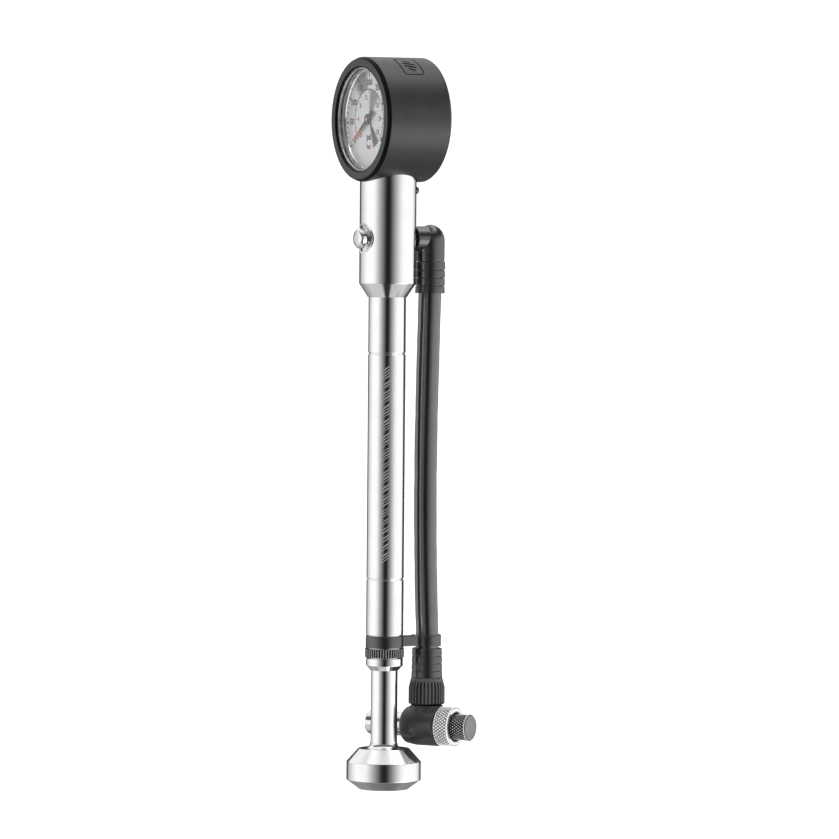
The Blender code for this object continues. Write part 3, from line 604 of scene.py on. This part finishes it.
def wrapped(name, outline, inside, low_r, high_r, place=UPRIGHT):
    """Plate or frame bent round local Z; outlines are (arc length, height).

    Where inside is None, the second half of the outline runs back beside its first half.
    """
    bm = bmesh.new()

    def ring(points, radius):
        return [bm.verts.new(Vector((radius * math.cos(u / high_r), radius * math.sin(u / high_r), v)) * MM)
                for u, v in points]

    outer = [ring(outline, low_r), ring(outline, high_r)]
    wall(bm, *outer)
    if inside:
        inner = [ring(inside, low_r), ring(inside, high_r)]
        wall(bm, *inner)
        for level in range(2):
            wall(bm, outer[level], inner[level])
    else:
        for level in outer:
            for i in range(len(level) // 2 - 1):
                bm.faces.new((level[i], level[i + 1], level[-2 - i], level[-1 - i]))
    return as_object(name, bm, place)


def final_mesh(thing):
    """Mesh of an object with its modifiers applied, or of a text."""
    return bpy.data.meshes.new_from_object(thing.evaluated_get(bpy.context.evaluated_depsgraph_get()))


def settled(piece):
    """Applies the piece's modifiers."""
    mesh = final_mesh(piece)
    piece.modifiers.clear()
    piece.data = mesh
    return piece


def combined(piece, tools, operation):
    for tool in tools:
        modifier = piece.modifiers.new(tool.name, "BOOLEAN")
        modifier.operation = operation
        modifier.solver = "EXACT"
        modifier.object = tool
    settled(piece)
    for tool in tools:
        bpy.data.objects.remove(tool)
    return piece


def carved(piece, *tools):
    return combined(piece, tools, "DIFFERENCE")


def fused(piece, *tools):
    return combined(piece, tools, "UNION")


def softened(piece, grain, passes):
    """Rounds every edge as a moulding's, by a voxel remesh and smoothing."""
    remesh = piece.modifiers.new("remesh", "REMESH")
    remesh.mode = "VOXEL"
    remesh.voxel_size = grain * MM
    smooth = piece.modifiers.new("smooth", "SMOOTH")
    smooth.factor = 0.5
    smooth.iterations = passes
    return settled(piece)


def merged(piece, *others):
    """Adds the meshes of the others, which stay separate shells, to the piece."""
    bm = bmesh.new()
    bm.from_mesh(piece.data)
    for other in others:
        start = len(bm.verts)
        bm.from_mesh(other.data)
        bm.verts.ensure_lookup_table()
        move = piece.matrix_world.inverted() @ other.matrix_world
        bmesh.ops.transform(bm, matrix=move, verts=bm.verts[start:])
        bpy.data.objects.remove(other)
    bm.to_mesh(piece.data)
    bm.free()
    return piece


def true_round(piece, radius):
    """Exact normals on the face of a cylinder about local Z, so that cuts in it don't show in reflections."""
    mesh = piece.data
    normals = [Vector(corner.vector) for corner in mesh.corner_normals]
    for face in mesh.polygons:
        outward = Vector((face.center.x, face.center.y, 0.0)).normalized()
        if face.normal.dot(outward) < 0.995:
            continue
        for loop in face.loop_indices:
            point = mesh.vertices[mesh.loops[loop].vertex_index].co
            flat = Vector((point.x, point.y, 0.0))
            if abs(flat.length - radius * MM) < 0.02 * MM:
                normals[loop] = flat.normalized()
    mesh.normals_split_custom_set(normals)


def show(piece, material, stands_for=None, beside=None, smooth_all=False):
    """Finishes a piece: its shading, material, body and the CAD nodes that it stands for.

    stands_for is a node or several; beside names a node whose body the piece shares instead.
    """
    mesh = piece.data
    mesh.shade_smooth()
    if not smooth_all:
        mesh.set_sharp_from_angle(angle=SHARP)
    mesh.materials.clear()
    mesh.materials.append(material)
    nodes = [stands_for] if isinstance(stands_for, str) else list(stands_for or [])
    anchor = nodes[0] if nodes else beside
    if nodes:
        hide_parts(*nodes)
    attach(piece, BODY_OF[anchor])
    return piece


def weighted(piece):
    """Long faces keep their own normals beside small rounded edges."""
    modifier = piece.modifiers.new("weighted", "WEIGHTED_NORMAL")
    modifier.keep_sharp = True
    return piece


# Gauge --------------------------------
BOOT_BACK = corners("gauge_boot")[1].y      # how far the boot reaches behind the gauge's centre
BOOT_FRONT = -corners("gauge_boot")[0].y
EMBLEM_ANGLE = 60.0                         # of the engraved mark, up from +X
EMBLEM_MIDDLE = -2.3                        # along the gauge's axis
EMBLEM_WIDE, EMBLEM_TALL = 12.4, 8.6        # round the boot and along it
DIAL_TOP, PRINT_TOP = 7.93, 7.96            # the dial's face and its print, along the same axis
SWEEP = 250.0                               # degrees of the whole scale
PSI_FULL, BAR_FULL = 400, 28


def slanted(width, height, lean, at=(0.0, 0.0)):
    """Leaning bar as an outline about its middle."""
    half_w, half_h = width / 2, height / 2
    x, y = at
    return [(x - half_w - lean, y - half_h), (x + half_w - lean, y - half_h),
            (x + half_w + lean, y + half_h), (x - half_w + lean, y + half_h)]


def frame_outline(width, height, radius):
    half_w, half_h = width / 2, height / 2
    return rounded([(-half_w, -half_h, radius), (half_w, -half_h, radius),
                    (half_w, half_h, radius), (-half_w, half_h, radius)])


def make_boot():
    """Rubber boot with a slanted lip round the glass and an engraved plain emblem."""
    inner_r, lip_r, lip_floor = 20.95, 19.3, 11.6
    boot = lathe("boot_shell", stepped(rounded([
        (0.0, -BOOT_BACK), (BOOT_R - 0.7, -BOOT_BACK, 0.4), (BOOT_R, -BOOT_BACK + 0.9, 0.6),
        (BOOT_R, BOOT_FRONT - 1.4, 0.3), (BOOT_R - 0.5, BOOT_FRONT - 0.25, 0.4),
        (BOOT_R - 0.9, BOOT_FRONT, 0.3), (lip_r + 0.55, BOOT_FRONT, 0.2), (lip_r, BOOT_FRONT - 0.15, 0.1),
        (lip_r, lip_floor), (inner_r, lip_floor), (inner_r, -BOOT_BACK + 2.0), (0.0, -BOOT_BACK + 2.0)]),
        3.0), GAUGE, 192)
    depth, line = 0.42, 0.5
    place = GAUGE @ spot(0, 0, EMBLEM_MIDDLE, (EMBLEM_ANGLE, "Z"))
    low_r, high_r = BOOT_R - depth, BOOT_R + 0.6
    outer = frame_outline(EMBLEM_WIDE, EMBLEM_TALL, 1.3)
    inner = frame_outline(EMBLEM_WIDE - 2 * line, EMBLEM_TALL - 2 * line, 0.9)
    tools = [bar("boot_hole_cutter", HEAD_R + 0.3, GAUGE_Z - BOOT_R - 5.0, GAUGE_Z - 5.0),
             wrapped("emblem_frame_cutter", outer, inner, low_r, high_r, place)]
    for i, (offset, length) in enumerate(((-3.0, 2.6), (-1.0, 4.6), (1.0, 4.6), (3.0, 2.6))):
        tools.append(wrapped(f"emblem_bar_cutter_{i}", slanted(1.05, length, 0.6, (offset, 0.0)), None,
                             low_r, high_r, place))
    show(carved(boot, *tools), BOOT, "gauge_boot")


def make_gauge_front():
    """Bezel, glass, ribbed wall, dial and the bright rings round them."""
    bezel_r = corners("gauge_bezel")[1].x
    crest, floor = -corners("gauge_bezel")[0].y, 9.6
    serrations, ribs = 84, 150

    def hatched(angle, radius, height):
        inside = radius < 19.7 and 10.4 < height < crest - 0.12
        return radius + (0.16 * math.cos(serrations * angle + 5.0 * height) if inside else 0.0)

    def ribbed(angle, radius, height):
        inside = radius < 19.2 and 8.35 < height < 9.2
        return radius + (0.12 * math.cos(ribs * angle) if inside else 0.0)

    show(lathe("bezel_ring", stepped(rounded([
        (19.15, 10.35), (19.15, crest - 0.1, 0.08), (19.4, crest - 0.05, 0.08), (bezel_r, crest - 0.05, 0.3),
        (bezel_r, floor), (20.3, floor), (20.3, 10.35)]), 0.18), GAUGE, serrations * 6, hatched),
        WALL_STEEL, "gauge_bezel")
    show(lathe("bezel_crest", rounded([
        (18.9, crest - 0.2), (18.9, crest, 0.05), (19.12, crest, 0.05), (19.12, crest - 0.2)]), GAUGE),
        CHROME, beside="gauge_bezel")

    lens_edge, lens_back, lens_front = 19.7, 9.58, 10.25
    show(weighted(lathe("lens_disc", rounded([
        (0.0, lens_back), (lens_edge, lens_back), (20.1, lens_back, 0.08), (20.1, lens_front, 0.15),
        (lens_edge, lens_front), (0.0, lens_front)]), GAUGE)), LENS, "gauge_lens")

    show(lathe("spacer_ring", stepped([(19.0, 8.25), (19.8, 8.25), (19.8, 9.3), (19.0, 9.3)], 0.26),
               GAUGE, ribs * 4, ribbed), WALL_STEEL, "dial_spacer")
    show(lathe("dial_step_ring", rounded([
        (18.35, PRINT_TOP), (18.9, PRINT_TOP), (18.9, 8.22, 0.05), (18.5, 8.22, 0.08)]), GAUGE),
        CHROME, beside="gauge_dial")

    dial_back = DIAL_TOP - 0.5
    show(weighted(lathe("dial_disc", rounded([
        (1.3, dial_back), (19.8, dial_back), (19.8, DIAL_TOP, 0.05), (19.4, DIAL_TOP), (1.6, DIAL_TOP),
        (1.3, DIAL_TOP, 0.05)]), GAUGE)), DIAL, "gauge_dial")


def dial_angle(share):
    """Direction on the dial, in radians from +X, for a share of the full scale."""
    return math.radians(90.0 + SWEEP / 2 - SWEEP * share)


def at_share(share, radius):
    angle = dial_angle(share)
    return radius * math.cos(angle), radius * math.sin(angle)


def tick(share, low_r, high_r, width):
    """Radial stroke on the dial, as an outline."""
    angle = dial_angle(share)
    along = Vector((math.cos(angle), math.sin(angle)))
    across = Vector((-along.y, along.x)) * width / 2
    return [along * low_r - across, along * high_r - across, along * high_r + across, along * low_r + across]


def arc_band(low_r, high_r, first, last, steps):
    """Thin band on the dial between two shares of the scale, as an outline."""
    shares = [first + (last - first) * i / steps for i in range(steps + 1)]
    return [at_share(s, high_r) for s in shares] + [at_share(s, low_r) for s in reversed(shares)]


def printed(name, outlines, material):
    plates = [prism(f"{name}_{i}", outline, DIAL_TOP - 0.02, PRINT_TOP, GAUGE)
              for i, outline in enumerate(outlines)]
    show(merged(*plates), material, beside="gauge_dial")


def lettering(name, words, material):
    """Words or numbers at (x, y) on the dial, each (text, x, y, size)."""
    plates = []
    for i, (text, x, y, size) in enumerate(words):
        curve = bpy.data.curves.new(f"{name}_{i}", "FONT")
        curve.body = text
        curve.align_x, curve.align_y = "CENTER", "CENTER"
        curve.size = size * MM
        curve.offset = 0.035 * size * MM
        curve.extrude = (PRINT_TOP - DIAL_TOP + 0.02) / 2 * MM
        curve.resolution_u = 3
        drawn = added(f"{name}_{i}", curve)
        mesh = final_mesh(drawn)
        bpy.data.objects.remove(drawn)
        bm = bmesh.new()
        bm.from_mesh(mesh)
        middle_z = (PRINT_TOP + DIAL_TOP - 0.02) / 2
        plates.append(as_object(f"{name}_plate_{i}", bm, GAUGE @ spot(x, y, middle_z)))
    base = as_object(name, bmesh.new(), GAUGE)
    show(merged(base, *plates), material, beside="gauge_dial")


def numerals(full, step, radius, size, unit, unit_y, unit_size):
    """Numbers round the scale, and the name of the unit under the needle."""
    words = [(str(value), *at_share(value / full, radius), size) for value in range(0, full + 1, step)]
    return words + [(unit, 0.0, unit_y, unit_size)]


def make_dial_print():
    marks = [tick(i / 40, 16.9 if i % 5 else 15.9, 18.2, 0.24 if i % 5 else 0.5) for i in range(41)]
    marks.append(arc_band(11.05, 11.4, -0.02, 1.02, 72))
    printed("dial_ticks", marks, BLACK_INK)
    lettering("dial_psi_numerals", numerals(PSI_FULL, 50, 13.7, 3.1, "psi", -6.6, 3.2), BLACK_INK)
    bar_marks = [tick(i / BAR_FULL, 9.8, 10.7, 0.24) for i in range(0, BAR_FULL + 1, 2)]
    printed("dial_bar_ticks", bar_marks, RED_INK)
    lettering("dial_bar_numerals", numerals(BAR_FULL, 4, 8.5, 2.4, "bar", -10.2, 2.6), RED_INK)


def make_needle():
    """Black pointer with a counterweight, a red outer part and a hub with a brass centre."""
    place = GAUGE @ spot(0, 0, 0, (SWEEP / 2, "Z"))
    tip, split, tail = 14.0, 6.9, -5.0

    def half_width(y):
        return 0.30 + 0.36 * (tip - 0.6 - y) / tip

    root, neck = half_width(0), half_width(split)
    inner = rounded([(root, 0.0), (neck, split), (-neck, split), (-root, 0.0), (-0.62, -1.4),
                     (-1.15, tail + 0.8, 0.4), (-0.8, tail, 0.4), (0.8, tail, 0.4), (1.15, tail + 0.8, 0.4),
                     (0.62, -1.4)])
    show(prism("needle_pointer", inner, 8.55, 8.9, place), NEEDLE, "gauge_needle")
    outer = [(neck, split), (0.28, tip - 0.6), (0.0, tip), (-0.28, tip - 0.6), (-neck, split)]
    show(prism("needle_point", outer, 8.56, 8.91, place), BRIGHT_RED, beside="gauge_needle")
    show(lathe("needle_hub", rounded([
        (0.62, 8.2), (2.0, 8.2, 0.1), (2.0, 9.0, 0.3), (1.2, 9.25, 0.2), (0.62, 9.25)]), place, SMALL),
        NEEDLE, beside="gauge_needle")
    show(lathe("needle_cap", rounded([(0.0, 8.9), (0.6, 8.9), (0.6, 9.3, 0.15), (0.0, 9.42)]), place, SMALL),
         BRASS, beside="gauge_needle")


# Head and bleed valve -----------------
def make_head():
    low = corners("head_block")[0].z
    shoulder, top = low + 5.1, 236.0
    screw_line = spot(0, 0, middle("gauge_lock_screw").z, BACK)
    head = lathe("head_body", rounded([
        (7.3, low, 0.15), (HEAD_R, shoulder, 0.35), (HEAD_R, 228.0), (HEAD_R, top), (3.3, top), (3.3, 213.0),
        (1.5, 213.0), (1.5, 201.5), (3.2, 201.5), (3.2, 198.0), (7.15, 198.0), (7.15, low)]), UPRIGHT, 192)
    seat_r, seat_depth = 5.74, 8.4
    carved(head, bar("saddle_cutter", 20.95, -15.0, 15.0, GAUGE, 200),
           lathe("bleed_cutter", [(0.0, 0.6), (3.4, 0.6), (3.4, seat_depth), (seat_r, seat_depth),
                                  (seat_r, 12.0), (0.0, 12.0)], BLEED, PLAIN),
           bar("swivel_cutter", 3.4, 0.8, 12.0, spot(0, 0, SWIVEL_Z, BACK)),
           bar("screw_cutter", 1.6, 3.0, 12.0, screw_line, SMALL))
    show(head, CHROME, "head_block")
    true_round(head, HEAD_R)

    show(lathe("lock_screw", rounded([
        (0.0, 4.3), (1.35, 4.3), (1.35, 10.8), (1.5, 10.9), (1.5, 11.7, 0.2), (1.1, 12.6, 0.5),
        (0.45, 12.85, 0.2), (0.45, 12.2), (0.0, 12.2)]), screw_line, SMALL), DARK_STEEL, "gauge_lock_screw")


def make_bleed_valve():
    """Sprung button with a crowned face in a turned seat."""
    show(lathe("bleed_seat", rounded([
        (1.7, 4.0), (3.25, 4.0), (3.25, 8.7), (5.0, 8.7), (5.0, 9.15, 0.12), (4.1, 9.3, 0.1),
        (3.6, 9.05, 0.1), (1.7, 9.05)]), BLEED, PLAIN), TURNED, "bleed_guide")
    show(lathe("bleed_cap", rounded([
        (0.0, 2.2), (2.2, 2.2), (2.2, 3.0), (1.5, 3.0), (1.5, 11.3, 0.4), (2.9, 10.7, 0.2), (3.55, 10.6, 0.2),
        (3.75, 10.9, 0.15), (3.75, 12.3, 0.5), (3.2, 13.0, 0.8), (1.8, 13.35, 1.5), (0.0, 13.4)]),
        BLEED, PLAIN), TURNED, "bleed_button")


# Barrel and gland ---------------------
GROOVES = (78.9, 163.35)


def make_barrel():
    groove_w, floor_r = 0.9, BARREL_R - 0.3
    low, high = heights("barrel_tube")
    shoulder = 57.9
    profile = [(5.8, low), (6.4, low, 0.1), (6.4, shoulder), (BARREL_R, shoulder, 0.15)]
    for height in GROOVES:
        profile += [(BARREL_R, height - groove_w / 2, 0.08), (floor_r, height - groove_w / 4, 0.1),
                    (floor_r, height + groove_w / 4, 0.1), (BARREL_R, height + groove_w / 2, 0.08)]
    profile += [(BARREL_R, high), (5.8, high)]
    show(weighted(lathe("barrel_body", rounded(profile))), CHROME, "barrel_tube")


def make_barrel_marks():
    """Etched column of leaning strokes in groups, in place of lettering."""
    draw = random.Random(7)
    low, high, tall, lean, gap = 86.0, 154.5, 2.4, 0.85, 0.9
    low_r, high_r = BARREL_R - 0.05, BARREL_R + 0.03
    across = [tall * (i / 6 - 0.5) for i in range(7)]
    place = spot(0, 0, 0, (VIEW_TURN - 90.0, "Z"))
    plates = []
    height = low
    while height < high:
        for _ in range(draw.choice((2, 3, 4))):
            wide = draw.choice((0.32, 0.42, 0.55))
            foot = [(u, height + 2 * lean * u / tall) for u in across]
            outline = foot + [(u, v + wide) for u, v in reversed(foot)]
            plates.append(wrapped(f"mark_{len(plates)}", outline, None, low_r, high_r, place))
            height += wide + 0.70
        height += gap
    show(merged(*plates), ETCHED, beside="barrel_tube")


def make_gland():
    low = heights("gland_bush")[0]
    bore, inner_r, outer_r = 5.12, 5.65, 6.9
    show(weighted(lathe("gland_collar", rounded([
        (bore, low), (5.35, low, 0.08), (outer_r, low + 1.8, 0.2), (outer_r, 49.1, 0.15), (inner_r, 49.1),
        (inner_r, 60.0), (bore, 60.0)]))), CHROME, "gland_bush")

    teeth = 46
    low, high = heights("lock_ring")
    high += 0.05

    def toothed(angle, radius, height):
        outside = radius > 7.0
        wave = max(-0.6, min(0.6, math.cos(teeth * angle)))
        return radius - (0.20 - 0.33 * wave if outside else 0.0)

    show(lathe("serrated_ring", stepped(rounded([
        (6.55, low), (LOCK_R - 0.1, low, 0.15), (LOCK_R, low + 0.3, 0.1), (LOCK_R, high), (6.55, high)]),
        0.6), UPRIGHT, teeth * 12, toothed), SERRATED, "lock_ring")


def block(name, x_low, x_high, y_low, y_high, low, high):
    return prism(name, [(x_low, y_low), (x_high, y_low), (x_high, y_high), (x_low, y_high)], low, high)


def make_clip():
    """Band round the barrel, arm and open holder for the hose, moulded in one."""
    low, high = heights("hose_clip")
    jaw, mouth = 5.17, 4.1
    clip = bar("clip_body", 7.12, low, high, UPRIGHT, FINE)
    fused(clip, block("clip_arm", -2.0, 2.0, 5.0, HOSE_Y - 3.0, low + 0.3, high - 0.3),
          bar("clip_holder", 5.25, low + 0.1, high - 0.1, HOSE_LINE),
          block("clip_jaws", -3.4, 0.6, HOSE_Y - jaw, HOSE_Y + jaw, low + 0.2, high - 0.2))
    carved(clip, bar("clip_barrel_cutter", 6.5, low - 1.0, high + 1.0),
           bar("clip_hose_cutter", 4.4, low - 1.2, high + 1.2, HOSE_LINE),
           block("clip_mouth_cutter", -8.0, 0.5, HOSE_Y - mouth, HOSE_Y + mouth, low - 1.0, high + 1.0))
    show(softened(clip, 0.17, 3), PLASTIC, "hose_clip", smooth_all=True)


# Pull knob ----------------------------
def make_handle():
    flare = [(ROD_R + 0.18 + 1.3 * (1 - math.sin(a)), 15.5 + 1.7 * (1 - math.cos(a)))
             for a in [math.radians(22.5 * i) for i in range(5)]]
    show(weighted(lathe("pull_knob", rounded([
        (0.0, 0.0), (9.2, 0.0, 0.3), (9.7, 0.45, 0.2), (KNOB_R, 3.5, 0.3), (KNOB_R, 10.3, 0.3),
        (9.6, 15.25, 0.4), (7.4, 15.35, 0.5)] + flare + [(5.15, 17.2), (5.15, 4.6), (0.0, 4.6)]))),
        TURNED, "handle_knob")
    show(lathe("pull_rod", rounded([(3.6, 5.0), (ROD_R, 5.0), (ROD_R, 172.0, 0.3), (3.6, 172.0)])),
         CHROME, "piston_rod")


# Hose ---------------------------------
def hose_bow(height):
    """How far the hose bows towards the barrel between its sleeves."""
    straight_low, straight_high, bow = 60.0, 185.0, 1.2
    share = min(max((height - straight_low) / (straight_high - straight_low), 0.0), 1.0)
    return -bow * math.sin(math.pi * share ** 0.85)


def make_hose():
    low, high = heights("hose")
    steps, sides = 96, 64
    rings, path = [], []
    for i in range(steps + 1):
        height = low + (high - low) * i / steps
        shift = hose_bow(height)
        swell = 1.0 - 0.006 * (1 + math.sin(height * 0.55)) * (1 + math.sin(height * 0.23))
        ring = []
        for k in range(sides):
            angle = 2 * math.pi * k / sides
            flat = 1.0 - 0.010 * (1 + math.cos(5 * angle + 0.6 * math.sin(height * 0.07)))
            reach = HOSE_R * swell * flat
            ring.append((reach * math.cos(angle), HOSE_Y + shift + reach * math.sin(angle), height))
        rings.append(ring)
        path.append(Vector((0.0, HOSE_Y + shift, height)) * MM)
    hose = lofted("pressure_hose", rings)
    show(hose, HOSE, "hose", smooth_all=True)


def banded_sleeve(name, stands_for, bands, foot_r, top_r, seam=0.0):
    """Sleeve of flared bands parted by thin grooves.

    seam is how much further it reaches than its CAD node, to meet its neighbour.
    """
    low, high = heights(stands_for)
    high += seam
    pitch = (high - low) / bands
    groove, bore = 0.3, 4.4
    profile = [(bore, low)]
    for i in range(bands):
        start, end = low + i * pitch, low + (i + 1) * pitch - (groove if i < bands - 1 else 0.0)
        foot = foot_r + (top_r - foot_r) * i / bands
        profile += [(foot, start, 0.1), (foot - 0.1, end, 0.2)]
        if i < bands - 1:
            profile += [(foot - 0.45, end, 0.08), (foot - 0.45, end + groove, 0.08)]
    profile.append((bore, high))
    show(weighted(lathe(name, rounded(profile), HOSE_LINE, PLAIN)), PLASTIC, stands_for)


def make_swivel():
    line = spot(0, 0, SWIVEL_Z, BACK)
    show(lathe("swivel_stem", rounded([
        (0.9, 3.2), (3.25, 3.2), (3.25, 10.6), (2.5, 10.6), (2.5, 17.0, 0.2), (0.9, 17.0)]), line, PLAIN),
        PLASTIC, "swivel_post")
    low, top = heights("swivel_elbow")
    dome_r, dome_h = 5.4, 6.2
    dome = [(dome_r * math.cos(a), top - dome_h + dome_h * math.sin(a)) for a in
            [math.radians(10.0 * i) for i in range(9)]]
    elbow = lathe("hose_elbow", [(0.0, low), (dome_r - 0.05, low)] + dome + [(0.0, top)], HOSE_LINE, PLAIN)
    fused(elbow, bar("elbow_leg", 4.72, 10.95, HOSE_Y - 0.6, line, 88))
    show(softened(elbow, 0.17, 5), PLASTIC, "swivel_elbow", smooth_all=True)


# Chuck --------------------------------
def make_nut():
    low = heights("swivel_nut")[0]
    flutes, flute_top = 30, 40.4
    neck_r, inner_top = 2.4, 38.3

    def fluted(angle, radius, height):
        if radius < 6.0 or height > flute_top:
            return radius
        fade = min(1.0, (flute_top - height) / 0.8)
        valley = 0.5 + 0.5 * math.cos(flutes * angle)
        return radius - 0.34 * fade * valley

    show(lathe("nut_sleeve", stepped(rounded([
        (5.0, low + 0.05), (6.55, low + 0.05, 0.2), (NUT_R, low + 0.5, 0.2), (NUT_R, NUT_CONE, 0.4),
        (6.0, 40.9, 0.25), (5.8, 41.3, 0.1), (neck_r, 41.3), (neck_r, inner_top), (5.0, inner_top)]), 0.5),
        HOSE_LINE, flutes * 12, fluted), FLUTED, "swivel_nut")


def make_chuck_body():
    """Bulbous moulding whose neck runs smoothly up into the nut."""
    body = lathe("chuck_shell", rounded([
        (0.0, -9.1), (4.9, -9.1, 1.0), (6.9, -7.9, 2.2), (7.6, -3.6, 2.0), (7.6, 6.2), (0.0, 6.2)]), CHUCK)
    fused(body, lathe("chuck_neck", rounded([
        (0.0, CHUCK_Z + 1.3), (6.9, CHUCK_Z + 1.3), (6.1, CHUCK_Z + 5.4, 1.0), (6.1, 30.95), (4.8, 30.95),
        (4.8, 35.4), (0.0, 35.4)]), HOSE_LINE, 100))
    softened(body, 0.25, 12)
    carved(body, bar("chuck_bore_cutter", 4.65, -10.0, 9.0, CHUCK),
           lathe("chuck_riser_cutter", [(0.0, 26.0), (1.2, 26.0), (1.2, 32.9), (2.9, 32.9), (2.9, 36.0),
                                        (0.0, 36.0)], HOSE_LINE, SMALL))
    show(body, SKIN, "chuck_body")


def diamonds(count, pitch, depth, low, high, inner_r):
    """Radius function of a diamond knurl between two heights."""
    def shape(angle, radius, height):
        if radius < inner_r or not low < height < high:
            return radius
        around_share = angle * count / (2 * math.pi)
        along_share = height / pitch
        first = (around_share + along_share) % 1.0
        second = (around_share - along_share) % 1.0
        return radius - depth * max(abs(2 * first - 1), abs(2 * second - 1))
    return shape


def make_coupler():
    """Bright coupler that grips the valve."""
    low = -24.4
    show(weighted(lathe("coupler_body", rounded([
        (3.85, low), (4.1, low, 0.15), (4.5, low + 0.6, 0.5), (4.5, 6.3), (3.6, 6.3), (3.6, 10.3),
        (1.6, 10.3), (1.6, -13.4), (3.85, -13.4)]), CHUCK, PLAIN)), CHROME, "coupler")


def make_grip():
    """Knurled ring that turns the coupler, with a bright end face."""
    low, high, grip_r, bore = 6.6, 12.7, 7.5, 3.8
    pitch, count = 1.75, 38
    outside = rounded([(bore, low), (grip_r - 0.3, low, 0.1), (grip_r, low + 0.3, 0.1),
                       (grip_r, high - 0.4, 0.1), (grip_r - 0.4, high, 0.1)]) + [(5.6, high)]
    show(lathe("coupler_grip", stepped(outside, pitch / 12) + [(5.3, high - 0.2), (5.3, 10.7), (bore, 10.7)],
               CHUCK, count * 8, diamonds(count, pitch, 0.45, low + 0.3, high - 0.45, 6.9)),
         KNURLED, "coupler_ring")
    face = high - 0.02
    show(lathe("grip_face", rounded([
        (5.32, high - 0.3), (7.05, high - 0.3), (7.05, face, 0.1), (5.5, face, 0.15)]), CHUCK),
        FACED, beside="coupler_ring")


def make_pin_knob():
    """Knurled knob that pushes the pin into the valve, its plain end face, the pin and the seal round it."""
    low, high, end_r = 10.95, 19.0, 4.85
    pitch, count = 1.70, 28
    outside = stepped(rounded([(1.7, low), (4.6, low, 0.1), (4.74, low + 0.35, 0.1), (5.1, high - 0.55, 0.1),
                               (end_r, high - 0.25, 0.1)]), pitch / 12)[:-1]
    show(lathe("pin_knob_body", outside + [(end_r, high - 0.25), (0.0, high - 0.25)], CHUCK, count * 8,
               diamonds(count, pitch, 0.38, low + 0.4, high - 0.6, 4.0)), KNOB_BLACK, "pin_knob")
    show(lathe("pin_knob_face", rounded([
        (0.0, high - 0.3), (4.7, high - 0.3), (4.7, high, 0.12), (0.0, high)]), CHUCK, PLAIN),
        KNOB_FACE, beside="pin_knob")
    show(lathe("depressor_pin", rounded([
        (0.0, -16.5), (1.0, -16.5, 0.3), (1.2, -16.0, 0.2), (1.2, 15.8), (0.0, 15.8)]), CHUCK, SMALL),
        BRASS, "valve_pin")
    show(lathe("valve_gasket", rounded([(1.7, -14.6), (3.6, -14.6, 0.2), (3.6, -13.7), (1.7, -13.7)]),
               CHUCK, SMALL), SEAL, "coupler_gasket")


def dress_carried_nodes():
    """Procedural looks on the CAD nodes that stay."""
    for name, carried in frame["nodes"].items():
        if not carried.hide_render:
            for place in carried.material_slots:
                place.material = SLOT_LOOKS[SLOT_OF[name]]


make_camera()
make_world()
make_lights()
make_floor()
make_hose()
make_boot()
make_gauge_front()
make_dial_print()
make_needle()
make_head()
make_bleed_valve()
make_barrel()
make_barrel_marks()
make_gland()
make_clip()
make_handle()
make_swivel()
banded_sleeve("upper_boot_sleeve", "upper_sleeve", 4, 5.55, 5.7, 0.22)
banded_sleeve("lower_boot_sleeve", "lower_sleeve", 4, 5.85, 5.6)
make_nut()
make_chuck_body()
make_coupler()
make_grip()
make_pin_knob()
dress_carried_nodes()
